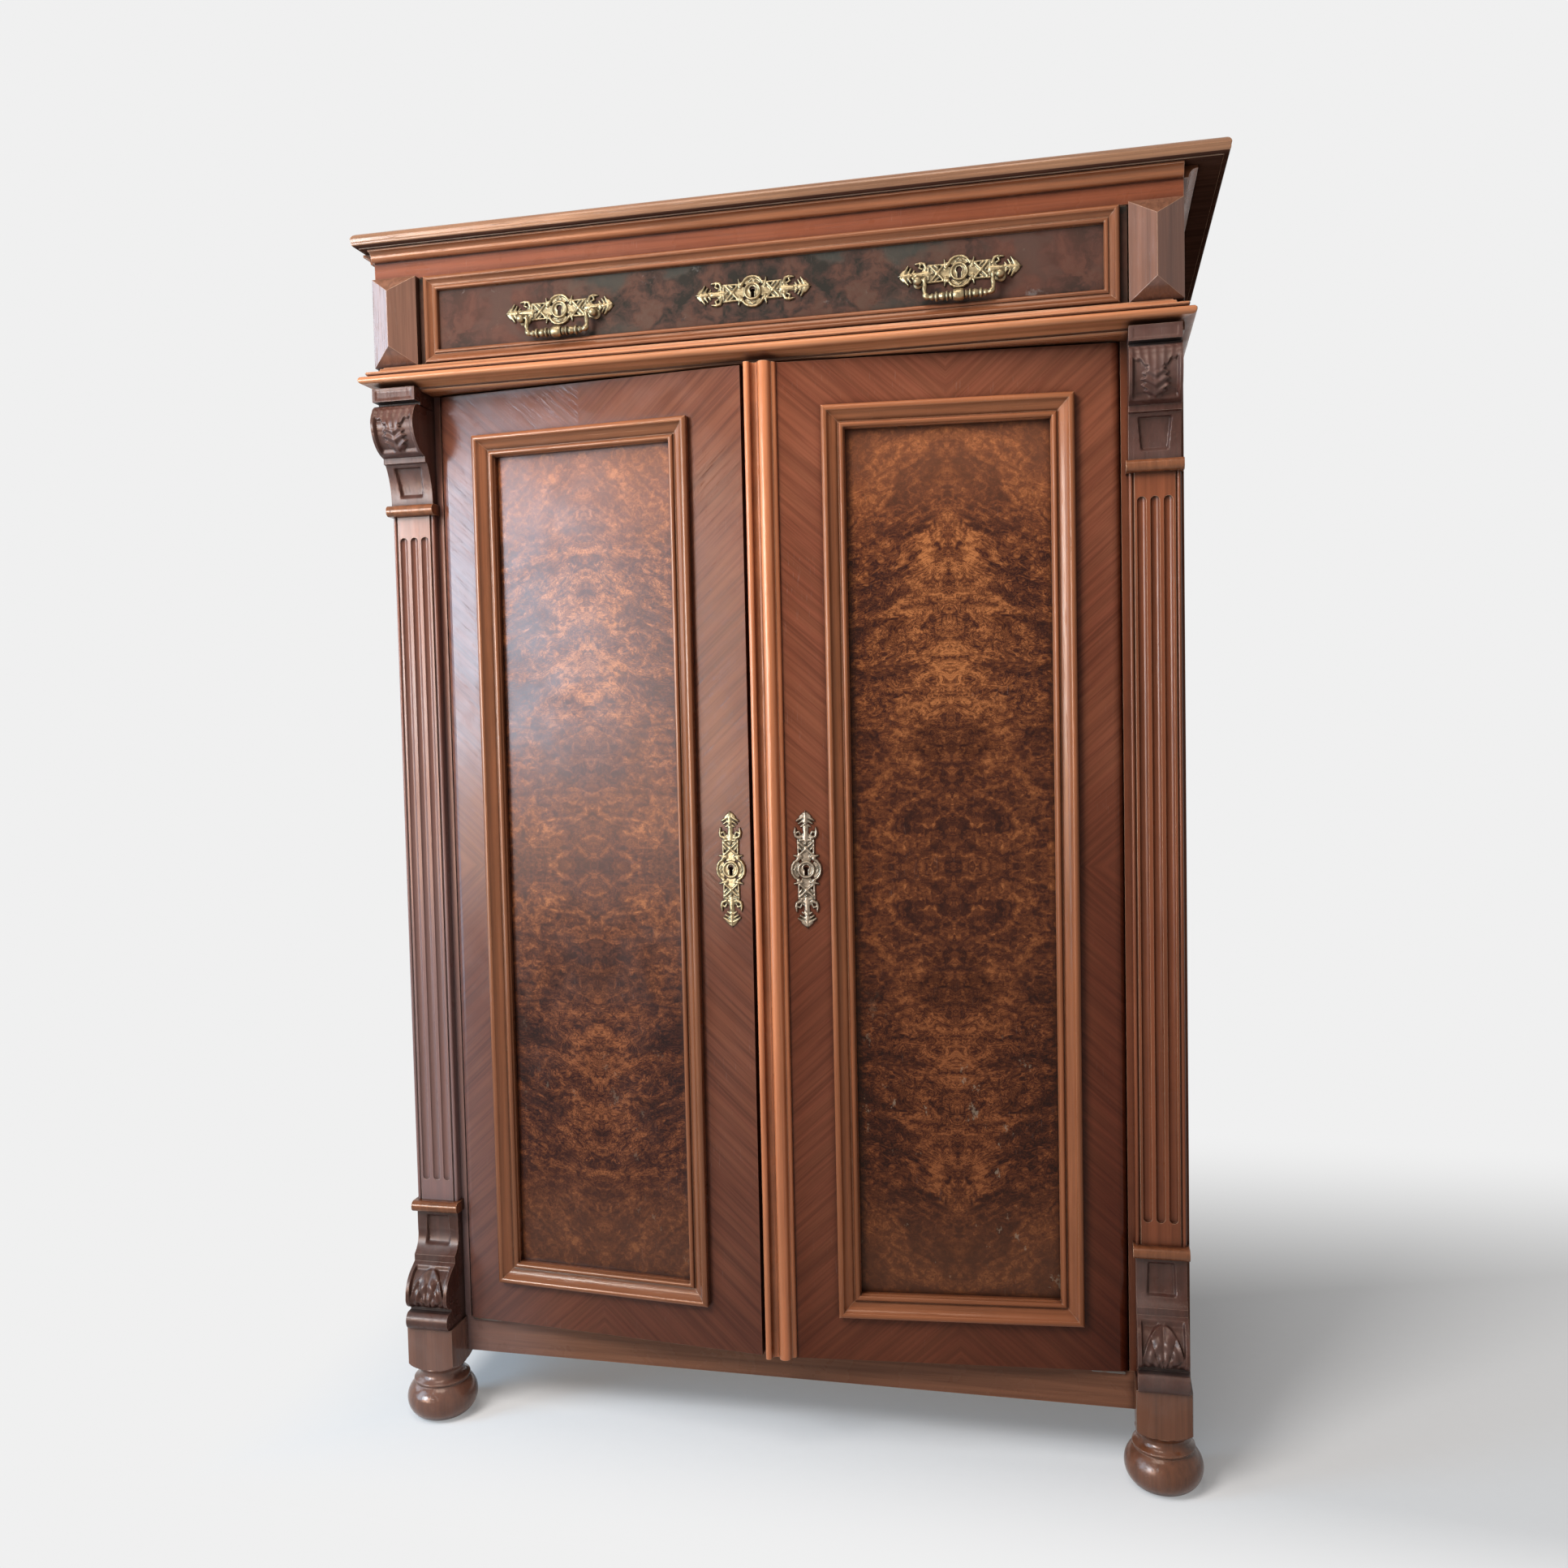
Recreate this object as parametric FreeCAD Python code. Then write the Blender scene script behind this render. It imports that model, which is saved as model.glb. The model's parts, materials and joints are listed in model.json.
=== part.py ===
import FreeCAD, Part
import math
import os

# Two-door cupboard with a frieze drawer, in millimetres.
# While it is built, X = 0 is the middle of the carcass, Y = 0 is the front of the
# corner posts and Z = 0 is the floor. Every piece is moved on export, so that the
# origin is the middle of the floor under the finished piece.

V = FreeCAD.Vector

# Driving heights, from the floor up
bun_height = 50.0
neck_height = 15.0
leg_block_height = 52.0
rail_lift = 74.0
door_height = 1125.7
door_foot_gap = 1.8
door_head_gap = 2.0
waist_height = 30.5
frieze_opening_height = 103.5
frieze_height = 33.0
top_thickness = 17.0

# Driving widths and depths
case_half_width = 462.0
case_depth = 458.0
post_width = 65.0
post_depth = 30.0
side_thickness = 22.0
frieze_overhang = 26.0
top_side_overhang = 31.0
top_shift = 14.5
top_overhang = 52.0
waist_side_overhang = 10.5
waist_front_reach = 57.0

# Board and clearance sizes that several pieces share
board_thickness = 18.0
back_thickness = 12.0
dust_board_thickness = 14.0
running_gap = 0.5
slip_gap = 0.2
pin_gap = 0.05
cut_over = 1.0
meeting_tolerance = 0.001
full_turn = 360.0
quarter_turn = 90.0

# Heights worked out from the driving ones
foot_top = bun_height + neck_height
block_top = foot_top + leg_block_height
door_foot = block_top + door_foot_gap
door_head = door_foot + door_height
waist_foot = door_head + door_head_gap
waist_top = waist_foot + waist_height
frieze_foot = waist_top + frieze_opening_height
carcass_top = frieze_foot + frieze_height
total_height = carcass_top + top_thickness

# Places worked out from the driving widths and depths
post_inner = case_half_width - post_width
side_inner = case_half_width - side_thickness
back_front = case_depth - back_thickness
top_half_width = case_half_width + top_side_overhang
origin_x = top_shift
origin_y = (case_depth - waist_front_reach) / 2

# Doors
door_thickness = 22.0
door_proud = 7.0
door_ajar_angle = 5.0
meeting_x = -11.0
meeting_gap = 1.5
door_edge_gap = 0.5
pivot_y = -door_proud + door_thickness / 2
pivot_x = post_inner - door_edge_gap - door_thickness / 2

# Drawer
drawer_side_gap = 1.2
drawer_foot_gap = 1.0
drawer_front_thickness = 22.0
drawer_front_y = -frieze_overhang - slip_gap
drawer_side_thickness = 12.0
drawer_rear_gap = 50.2


def box(x0, x1, y0, y1, z0, z1):
    return Part.makeBox(x1 - x0, y1 - y0, z1 - z0, V(x0, y0, z0))


def mirrored(shape):
    return shape.mirror(V(0, 0, 0), V(1, 0, 0))


def fused(shapes):
    whole = shapes[0]
    for shape in shapes[1:]:
        whole = whole.fuse(shape)
    return whole.removeSplitter()


def outline(steps, place):
    """Closed wire through steps: a point, or a pair of a point on an arc and its end."""
    edges = []
    start = steps[0]
    for step in steps[1:] + [steps[0]]:
        on_arc, end = step if isinstance(step[0], tuple) else (None, step)
        if place(*end).distanceToPoint(place(*start)) < meeting_tolerance:
            continue
        if on_arc:
            edges.append(Part.Arc(place(*start), place(*on_arc), place(*end)).toShape())
        else:
            edges.append(Part.LineSegment(place(*start), place(*end)).toShape())
        start = end
    return Part.Wire(edges)


def extruded(steps, place, along):
    return Part.Face(outline(steps, place)).extrude(along)


def in_xz(y):
    return lambda x, z: V(x, y, z)


def in_xy(z):
    return lambda x, y: V(x, y, z)


def mitred_frame(profile, x0, x1, z0, z1, y):
    """Four lengths of moulding round a rectangle, mitred and joined.

    profile holds steps (inward, forward) from the outer edge at depth y.
    """
    reach = max(x1 - x0, z1 - z0)
    wide, tall = x1 - x0, z1 - z0
    bottom = extruded(profile, lambda a, b: V(x0, y - b, z0 + a), V(wide, 0, 0))
    top = extruded(profile, lambda a, b: V(x0, y - b, z1 - a), V(wide, 0, 0))
    left = extruded(profile, lambda a, b: V(x0 + a, y - b, z0), V(0, 0, tall))
    right = extruded(profile, lambda a, b: V(x1 - a, y - b, z0), V(0, 0, tall))
    deep = reach
    half = min(wide, tall) / 2

    def wedge(points):
        face = Part.Face(Part.makePolygon([V(a, y - deep, b) for a, b in points + points[:1]]))
        return face.extrude(V(0, 2 * deep, 0))

    bottom = bottom.common(wedge([(x0, z0), (x1, z0), (x1 - half, z0 + half), (x0 + half, z0 + half)]))
    top = top.common(wedge([(x0, z1), (x1, z1), (x1 - half, z1 - half), (x0 + half, z1 - half)]))
    left = left.common(wedge([(x0, z0), (x0, z1), (x0 + half, z1 - half), (x0 + half, z0 + half)]))
    right = right.common(wedge([(x1, z0), (x1, z1), (x1 - half, z1 - half), (x1 - half, z0 + half)]))
    return fused([bottom, top, left, right])


def chorded(steps, count):
    """The same chain with each arc cut into straight runs, as turned work this small is kept light."""
    chain = [steps[0]]
    start = steps[0]
    for step in steps[1:]:
        if isinstance(step[0], tuple):
            on_arc, end = step
            arc = Part.Arc(V(*start, 0), V(*on_arc, 0), V(*end, 0)).toShape()
            chain += [(point.x, point.y) for point in arc.discretize(count + 1)[1:]]
            start = end
        else:
            chain.append(step)
            start = step
    return chain


def revolved(steps):
    """Solid of revolution about the Z axis. Steps are (radius, height)."""
    return Part.Face(outline(steps, in_xz(0))).revolve(V(0, 0, 0), V(0, 0, 1), full_turn)


# Corner legs: turned to a squashed bun and a neck, then left square above a turned shoulder

bun_radius = 42.5
bun_sole_radius = 24.0
bun_shoulder_radius = 33.0
neck_radius = 31.0
neck_waist_radius = 28.5
collar_height = 5.0
collar_swell = 3.0
leg_width = 60.0
leg_centre_x = case_half_width - leg_width / 2
leg_front = -43.0
shoulder_height = 14.0
bun_chords = 5
neck_chords = 2
rear_leg_width = 56.0
rear_leg_foot_width = 44.0
leg_corner_radius = leg_width * math.sqrt(0.5) + slip_gap


def side_of_bulge(end_radius, end_height, widest):
    """Point halfway along the arc from the bun's widest line to an end, upright where it is widest."""
    rise = end_height - widest
    centre = (bun_radius ** 2 - end_radius ** 2 - rise ** 2) / (2 * (bun_radius - end_radius))
    half_angle = math.atan2(rise, end_radius - centre) / 2
    reach = bun_radius - centre
    return centre + reach * math.cos(half_angle), widest + reach * math.sin(half_angle)


def turned_foot():
    """Bun, collar and neck about the Z axis, up to the foot of the square."""
    widest = 0.5 * bun_height
    collar_foot = bun_height - collar_height
    bun = [
        (0, 0),
        (bun_sole_radius, 0),
        (side_of_bulge(bun_sole_radius, 0, widest), (bun_radius, widest)),
        (side_of_bulge(bun_shoulder_radius, collar_foot, widest), (bun_shoulder_radius, collar_foot)),
    ]
    neck = [
        (bun_shoulder_radius, collar_foot),
        ((bun_shoulder_radius + collar_swell, collar_foot + collar_height / 2), (bun_shoulder_radius, bun_height)),
        ((neck_waist_radius, bun_height + 0.4 * neck_height), (neck_radius, foot_top)),
    ]
    return revolved(chorded(bun, bun_chords) + chorded(neck, neck_chords)[1:] + [(0, foot_top)])


def squared_block(top):
    """Square of the leg about the Z axis, its foot turned to a round shoulder."""
    shoulder = foot_top + shoulder_height
    middle = (0.5 * (neck_radius + leg_corner_radius) + 0.2 * shoulder_height, foot_top + 0.32 * shoulder_height)
    curve = [(neck_radius, foot_top), (middle, (leg_corner_radius, shoulder))]
    turned_part = revolved([(0, foot_top)] + chorded(curve, neck_chords) + [(leg_corner_radius, top), (0, top)])
    half = leg_width / 2
    return turned_part.common(box(-half, half, -half, half, foot_top, top))


def front_leg():
    turn_y = leg_front + leg_width / 2
    leg = fused([turned_foot(), squared_block(block_top)]).translated(V(leg_centre_x, turn_y, 0))
    backing = box(leg_centre_x - leg_width / 2, leg_centre_x + leg_width / 2, turn_y, post_depth,
                  rail_lift, block_top)
    return fused([leg, backing]).cut(pivot_cutter(1, block_top, -1))


def rear_leg():
    """Plain square leg, its front and inner faces tapered below the case."""
    outer, rear = case_half_width, case_depth
    inner, front = outer - rear_leg_width, rear - rear_leg_width
    head = block_top - board_thickness
    foot_inner, foot_front = outer - rear_leg_foot_width, rear - rear_leg_foot_width
    across = [(foot_inner, 0), (outer, 0), (outer, rail_lift), (side_inner, rail_lift), (side_inner, head),
              (inner, head), (inner, rail_lift)]
    along = [(foot_front, 0), (rear, 0), (rear, head), (front, head), (front, rail_lift)]
    leg = extruded(across, in_xz(front), V(0, rear_leg_width, 0))
    return leg.common(extruded(along, lambda a, b: V(inner, a, b), V(rear_leg_width, 0, 0)))


# Side frames with a sunk panel

side_stile_width = 70.0
side_foot_rail = 105.0
side_head_rail = 60.0
side_panel_thickness = 9.0
side_panel_sink = 5.0
side_panel_lap = 8.0
side_panel_bevel = 4.0


def side_opening(margin):
    y0 = post_depth + side_stile_width - margin
    y1 = case_depth - side_stile_width + margin
    z0 = rail_lift + side_foot_rail - margin
    z1 = waist_foot - side_head_rail + margin
    return y0, y1, z0, z1


def side_frame():
    frame = box(side_inner, case_half_width, post_depth, case_depth, rail_lift, carcass_top)
    y0, y1, z0, z1 = side_opening(0)
    frame = frame.cut(box(side_inner - cut_over, case_half_width + cut_over, y0, y1, z0, z1))
    rim = [e for e in frame.Edges if all(abs(v.X - case_half_width) < slip_gap
           and y0 - cut_over < v.Y < y1 + cut_over and z0 - cut_over < v.Z < z1 + cut_over for v in e.Vertexes)]
    frame = frame.makeChamfer(side_panel_bevel, rim)
    y0, y1, z0, z1 = side_opening(side_panel_lap)
    back_of_sink = case_half_width - side_panel_sink - side_panel_bevel
    return frame.cut(box(back_of_sink - side_panel_thickness - slip_gap, back_of_sink, y0, y1, z0, z1))


def side_panel():
    y0, y1, z0, z1 = side_opening(side_panel_lap - slip_gap)
    outer = case_half_width - side_panel_sink - side_panel_bevel - slip_gap / 2
    return box(outer - side_panel_thickness, outer, y0, y1, z0, z1)


# Carcass rails, boards and posts


def front_post():
    return box(post_inner, case_half_width, 0, post_depth, block_top, waist_foot)


def bottom_rail():
    reach = leg_centre_x - leg_width / 2
    rail = box(-reach, reach, 0, post_depth, rail_lift, block_top)
    for side in (-1, 1):
        rail = rail.cut(pivot_cutter(side, block_top, -1))
    return rail.cut(foot_bolt_hole())


def bottom_board():
    return box(-side_inner, side_inner, post_depth, back_front, block_top - board_thickness, block_top)


def waist_rail():
    rail = box(-case_half_width, case_half_width, -frieze_overhang, post_depth, waist_foot, waist_top)
    for side in (-1, 1):
        rail = rail.cut(pivot_cutter(side, waist_foot, 1))
    return rail


def dust_board():
    return box(-side_inner, side_inner, post_depth, back_front, waist_foot, waist_foot + dust_board_thickness)


def frieze_rail():
    rail = box(-case_half_width, case_half_width, -frieze_overhang, post_depth, frieze_foot, carcass_top)
    return rail.cut(drawer_bolt_mortise())


board_count = 3


def back_boards():
    width = 2 * side_inner / board_count
    boards = []
    for i in range(board_count):
        x0 = -side_inner + i * width
        x1 = x0 + width - (slip_gap if i < board_count - 1 else 0)
        boards.append(box(x0, x1, back_front, case_depth, block_top - board_thickness, carcass_top))
    return boards


shelf_front = 60.0
shelf_height_shares = (0.33, 0.66)
shelf_side_gap = 0.5
batten_height = 24.0
batten_width = 18.0


def shelf_levels():
    return [block_top + share * (waist_foot - block_top) for share in shelf_height_shares]


def shelf(level):
    reach = side_inner - shelf_side_gap
    return box(-reach, reach, shelf_front, back_front - shelf_side_gap, level, level + board_thickness)


def shelf_battens():
    battens = []
    for level in shelf_levels():
        for side in (-1, 1):
            batten = box(side_inner - batten_width, side_inner, shelf_front, back_front - shelf_side_gap,
                         level - batten_height, level)
            battens.append(batten if side > 0 else mirrored(batten))
    return battens


# Waist moulding: the profile steps are (back to front, height above its foot)


def waist_profile():
    reach = waist_front_reach - frieze_overhang
    high = waist_height
    return [
        (0, 0),
        (0.16 * reach, 0),
        (0.24 * reach, 0.06 * high),
        (0.20 * reach, 0.13 * high),
        (0.28 * reach, 0.14 * high),
        ((0.50 * reach, 0.23 * high), (0.82 * reach, 0.27 * high)),
        (0.86 * reach, 0.27 * high),
        ((reach, 0.41 * high), (0.88 * reach, 0.55 * high)),
        (0.70 * reach, 0.56 * high),
        (0.70 * reach, 0.61 * high),
        (0.76 * reach, 0.62 * high),
        (0.79 * reach, 0.68 * high),
        (0.76 * reach, 0.74 * high),
        (0.60 * reach, 0.76 * high),
        ((0.44 * reach, 0.81 * high), (0.38 * reach, 0.93 * high)),
        (0.30 * reach, 0.94 * high),
        (0.28 * reach, high),
        (0, high),
    ]


def waist_moulding_front():
    reach = waist_front_reach - frieze_overhang
    outer = case_half_width + waist_side_overhang
    length = extruded(waist_profile(), lambda a, b: V(-outer, -frieze_overhang - a, waist_foot + b), V(2 * outer, 0, 0))
    corners = [(-outer, -waist_front_reach), (outer, -waist_front_reach),
               (outer - reach, -frieze_overhang), (-outer + reach, -frieze_overhang)]
    wedge = Part.Face(Part.makePolygon([V(a, b, waist_foot) for a, b in corners + corners[:1]]))
    return length.common(wedge.extrude(V(0, 0, waist_height)))


def waist_moulding_side():
    reach = waist_front_reach - frieze_overhang
    outer = case_half_width + waist_side_overhang
    ground = outer - reach
    length = extruded(waist_profile(), lambda a, b: V(ground + a, -waist_front_reach, waist_foot + b),
                      V(0, case_depth + waist_front_reach, 0))
    corners = [(outer, -waist_front_reach), (outer, case_depth), (case_half_width, case_depth),
               (case_half_width, -frieze_overhang), (ground, -frieze_overhang)]
    keep = Part.Face(Part.makePolygon([V(a, b, waist_foot) for a, b in corners + corners[:1]]))
    return length.common(keep.extrude(V(0, 0, waist_height)))


# Cornice: a hollow-and-round moulding across the front, cleats along the sides, and the top

cornice_height = 12.0
cornice_reach = 16.0
cleat_width = 14.5


def cornice_moulding():
    high = cornice_height
    profile = [
        (0, 0),
        (0.20 * cornice_reach, 0),
        ((0.42 * cornice_reach, 0.10 * high), (0.55 * cornice_reach, 0.42 * high)),
        ((0.68 * cornice_reach, 0.70 * high), (0.92 * cornice_reach, 0.80 * high)),
        (cornice_reach, 0.80 * high),
        (cornice_reach, high),
        (0, high),
    ]
    place = lambda a, b: V(-case_half_width, -frieze_overhang - a, carcass_top - cornice_height + b)
    return extruded(profile, place, V(2 * case_half_width, 0, 0))


def top_cleat():
    foot = carcass_top - cornice_height
    profile = [
        (0, 0),
        (0.35 * cleat_width, 0),
        ((0.55 * cleat_width, 0.55 * cornice_height), (cleat_width, 0.75 * cornice_height)),
        (cleat_width, cornice_height),
        (0, cornice_height),
    ]
    place = lambda a, b: V(case_half_width + a, -frieze_overhang, foot + b)
    return extruded(profile, place, V(0, frieze_overhang + case_depth, 0))


def nosing_profile():
    """Steps (inward, down from the top face) of the moulded edge of the top."""
    r = top_thickness
    return [
        (0, 0.42 * r),
        ((0.16 * r, 0.12 * r), (0.50 * r, 0)),
        (2.5 * r, 0),
        (2.5 * r, r),
        (0.42 * r, r),
        (0.42 * r, 0.93 * r),
        ((0.10 * r, 0.84 * r), (0.05 * r, 0.62 * r)),
    ]


def top_board():
    x0, x1 = top_shift - top_half_width, top_shift + top_half_width
    y0, y1 = -top_overhang, case_depth
    inset = 2.0 * top_thickness
    core = box(x0 + inset, x1 - inset, y0 + inset, y1, carcass_top, total_height)
    front = extruded(nosing_profile(), lambda a, b: V(x0, y0 + a, total_height - b), V(x1 - x0, 0, 0))
    right = extruded(nosing_profile(), lambda a, b: V(x1 - a, y0, total_height - b), V(0, y1 - y0, 0))
    left = extruded(nosing_profile(), lambda a, b: V(x0 + a, y0, total_height - b), V(0, y1 - y0, 0))
    deep = 2.5 * top_thickness

    def plan(corners, shape):
        face = Part.Face(Part.makePolygon([V(a, b, carcass_top) for a, b in corners + corners[:1]]))
        return shape.common(face.extrude(V(0, 0, top_thickness)))

    front = plan([(x0, y0), (x1, y0), (x1 - deep, y0 + deep), (x0 + deep, y0 + deep)], front)
    right = plan([(x1, y0), (x1, y1), (x1 - deep, y1), (x1 - deep, y0 + deep)], right)
    left = plan([(x0, y0), (x0 + deep, y0 + deep), (x0 + deep, y1), (x0, y1)], left)
    return fused([core, front, left, right])


# Pyramid blocks beside the drawer

pyramid_width = 56.0
pyramid_inner = case_half_width - pyramid_width
pyramid_face = 34.0
pyramid_ridge = 18.0
pyramid_end_slope = 20.0


def pyramid_block():
    inner, outer = pyramid_inner, case_half_width - slip_gap
    body = box(inner, outer, -pyramid_face, post_depth, waist_top, frieze_foot)
    middle = (inner + outer) / 2
    low, high = waist_top, frieze_foot
    ridge_low = V(middle, -pyramid_face - pyramid_ridge, low + pyramid_end_slope)
    ridge_high = V(middle, -pyramid_face - pyramid_ridge, high - pyramid_end_slope)
    corners = [V(inner, -pyramid_face, low), V(outer, -pyramid_face, low),
               V(outer, -pyramid_face, high), V(inner, -pyramid_face, high)]

    def facet(points):
        return Part.Face(Part.makePolygon(points + points[:1]))

    faces = [
        facet([corners[0], corners[1], corners[2], corners[3]]),
        facet([corners[0], corners[1], ridge_low]),
        facet([corners[2], corners[3], ridge_high]),
        facet([corners[1], corners[2], ridge_high, ridge_low]),
        facet([corners[3], corners[0], ridge_low, ridge_high]),
    ]
    point = Part.Solid(Part.Shell(faces))
    if point.Volume < 0:
        point.reverse()
    return fused([body, point])


# Pilasters with flutes, collars and scroll consoles

pilaster_inset = 7.5
pilaster_inner = post_inner + pilaster_inset
pilaster_width = 54.0
pilaster_proud = 10.5
edge_bead_radius = 2.2
edge_quirk = 1.4
collar_band = 13.0
collar_proud = 22.0
collar_side = 3.0
lower_console_height = 135.5
upper_console_height = 129.0
flute_radius = 5.0
flute_sink = 3.6
flute_pitch = 13.8
flute_margin = 30.0
flute_count = 3
lower_collar_foot = block_top + lower_console_height
upper_collar_foot = waist_foot - upper_console_height - collar_band


def pilaster():
    x0, x1 = pilaster_inner, pilaster_inner + pilaster_width
    z0, z1 = lower_collar_foot + collar_band, upper_collar_foot
    bead, deep = 2 * edge_bead_radius, pilaster_proud - edge_bead_radius
    section = [
        (x0, 0),
        (x0, -deep),
        ((x0 + edge_bead_radius, -pilaster_proud), (x0 + bead, -deep)),
        (x0 + bead + edge_quirk, -deep),
        (x0 + bead + edge_quirk, -pilaster_proud),
        (x1 - bead - edge_quirk, -pilaster_proud),
        (x1 - bead - edge_quirk, -deep),
        (x1 - bead, -deep),
        ((x1 - edge_bead_radius, -pilaster_proud), (x1, -deep)),
        (x1, 0),
    ]
    shaft = extruded(section, in_xy(z0), V(0, 0, z1 - z0))
    middle = (x0 + x1) / 2
    y = -pilaster_proud - flute_radius + flute_sink
    half_open = math.sqrt(flute_radius ** 2 - (flute_radius - flute_sink) ** 2)
    low, high = z0 + flute_margin, z1 - flute_margin
    for i in range(flute_count):
        x = middle + (i - (flute_count - 1) / 2) * flute_pitch
        left, right = x - half_open, x + half_open
        rounded_ends = [(left, low), ((x, low - half_open), (right, low)), (right, high),
                        ((x, high + half_open), (left, high))]
        window = extruded(rounded_ends, in_xz(-pilaster_proud - cut_over), V(0, flute_radius + cut_over, 0))
        groove = Part.makeCylinder(flute_radius, high - low + 4 * half_open, V(x, y, low - 2 * half_open))
        shaft = shaft.cut(groove.common(window))
    return shaft


def collar(foot):
    x0, x1 = pilaster_inner - collar_side, pilaster_inner + pilaster_width + collar_side
    band = box(x0, x1, -collar_proud, 0, foot, foot + collar_band)
    edges = [e for e in band.Edges if e.Length > collar_band / 2 and all(v.Y < 0 for v in e.Vertexes)
             and abs(e.Vertexes[0].Z - e.Vertexes[1].Z) < slip_gap]
    return band.makeFillet(0.46 * collar_band, edges)


console_reach = 56.0
console_panel_sink = 3.0
console_panel_margin = 10.0


def upper_console():
    """Side view steps (forward share of console_reach, height above the console's foot)."""
    high, out = upper_console_height, console_reach
    side = [
        (0, 0),
        (-0.22 * out, 0),
        ((-0.27 * out, 0.20 * high), (-0.42 * out, 0.36 * high)),
        (-0.50 * out, 0.37 * high),
        (-0.50 * out, 0.42 * high),
        ((-0.82 * out, 0.50 * high), (-0.97 * out, 0.62 * high)),
        ((-out, 0.72 * high), (-0.93 * out, 0.80 * high)),
        ((-0.82 * out, 0.86 * high), (-0.62 * out, 0.865 * high)),
        (-0.62 * out, 0.90 * high),
        (-0.88 * out, 0.90 * high),
        (-0.88 * out, 1.02 * high),
        (-0.62 * out, 1.02 * high),
        (-0.62 * out, high),
        (0, high),
    ]
    x0, x1 = pilaster_inner, pilaster_inner + pilaster_width
    foot = upper_collar_foot + collar_band
    solid = extruded(side, lambda a, b: V(x0, a, foot + b), V(x1 - x0, 0, 0))
    sunk = box(x0 + console_panel_margin, x1 - console_panel_margin, -0.30 * out, -0.30 * out + console_panel_sink + 0.12 * out,
               foot + 0.10 * high, foot + 0.30 * high)
    return solid.cut(sunk)


def lower_console():
    """Side view steps (forward share of console_reach, height above the console's foot)."""
    high, out = lower_console_height, console_reach
    side = [
        (0, 0),
        (-0.80 * out, 0),
        ((-0.90 * out, 0.075 * high), (-0.80 * out, 0.15 * high)),
        (-0.66 * out, 0.155 * high),
        (-0.66 * out, 0.18 * high),
        ((-0.84 * out, 0.22 * high), (-0.88 * out, 0.30 * high)),
        ((-0.80 * out, 0.42 * high), (-0.60 * out, 0.51 * high)),
        (-0.42 * out, 0.56 * high),
        (-0.42 * out, 0.62 * high),
        ((-0.26 * out, 0.70 * high), (-0.22 * out, 0.82 * high)),
        (-0.22 * out, high),
        (0, high),
    ]
    x0, x1 = pilaster_inner, pilaster_inner + pilaster_width
    solid = extruded(side, lambda a, b: V(x0, a, block_top + b), V(x1 - x0, 0, 0))
    sunk = box(x0 + console_panel_margin, x1 - console_panel_margin, -0.30 * out, -0.22 * out + console_panel_sink,
               block_top + 0.74 * high, block_top + 0.95 * high)
    return solid.cut(sunk)


# Doors: built shut, then turned ajar about their pivots

door_moulding_width = 25.0
door_moulding_proud = 11.0
outer_stile_margin = 50.0
inner_stile_margin = 85.5
moulding_outer_x = post_inner - outer_stile_margin
moulding_inner_x = inner_stile_margin + meeting_x
moulding_foot_margin = 52.5
moulding_head_margin = 51.0
panel_rebate = 13.0
panel_lap = 8.0
panel_thickness = 8.0
panel_face_sink = 7.0


def door_span(side):
    """Low and high X of a shut door: the left one is -1, the right one is 1."""
    outer = post_inner - door_edge_gap
    if side < 0:
        return -outer, meeting_x - meeting_gap / 2
    return meeting_x + meeting_gap / 2, outer


def panel_opening(side, margin):
    x0, x1 = sorted((side * (moulding_inner_x + panel_rebate - margin), side * (moulding_outer_x - panel_rebate + margin)))
    z0 = door_foot + moulding_foot_margin + panel_rebate - margin
    z1 = door_head - moulding_head_margin - panel_rebate + margin
    return x0, x1, z0, z1


def ajar(shape, side):
    """Turns a shut door's piece open about its pivot."""
    turned_shape = shape.copy()
    turned_shape.rotate(V(side * pivot_x, pivot_y, 0), V(0, 0, 1), side * door_ajar_angle)
    return turned_shape


def door_frame(side):
    x0, x1 = door_span(side)
    front, rear = -door_proud, -door_proud + door_thickness
    radius = door_thickness / 2
    if side < 0:
        slab = box(x0 + radius, x1, front, rear, door_foot, door_head)
        nose = Part.makeCylinder(radius, door_height, V(x0 + radius, pivot_y, door_foot))
    else:
        slab = box(x0, x1 - radius, front, rear, door_foot, door_head)
        nose = Part.makeCylinder(radius, door_height, V(x1 - radius, pivot_y, door_foot))
    frame = fused([slab, nose])
    a, b, c, d = panel_opening(side, 0)
    frame = frame.cut(box(a, b, front - cut_over, rear + cut_over, c, d))
    a, b, c, d = panel_opening(side, panel_lap)
    frame = frame.cut(box(a, b, front + panel_face_sink, front + panel_face_sink + panel_thickness + slip_gap, c, d))
    frame = frame.cut(pivot_seat(side, door_foot, 1)).cut(pivot_seat(side, door_head, -1))
    if side < 0:
        frame = frame.cut(door_bolt_mortise()).cut(keyhole_bore(left_escutcheon_x, keyhole_depth))
    else:
        frame = frame.cut(door_lock_pocket()).cut(keyhole_bore(right_escutcheon_x, keyhole_depth))
    return frame


def door_panel(side):
    a, b, c, d = panel_opening(side, panel_lap - slip_gap)
    front = -door_proud + panel_face_sink + slip_gap / 2
    return box(a, b, front, front + panel_thickness, c, d)


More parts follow.
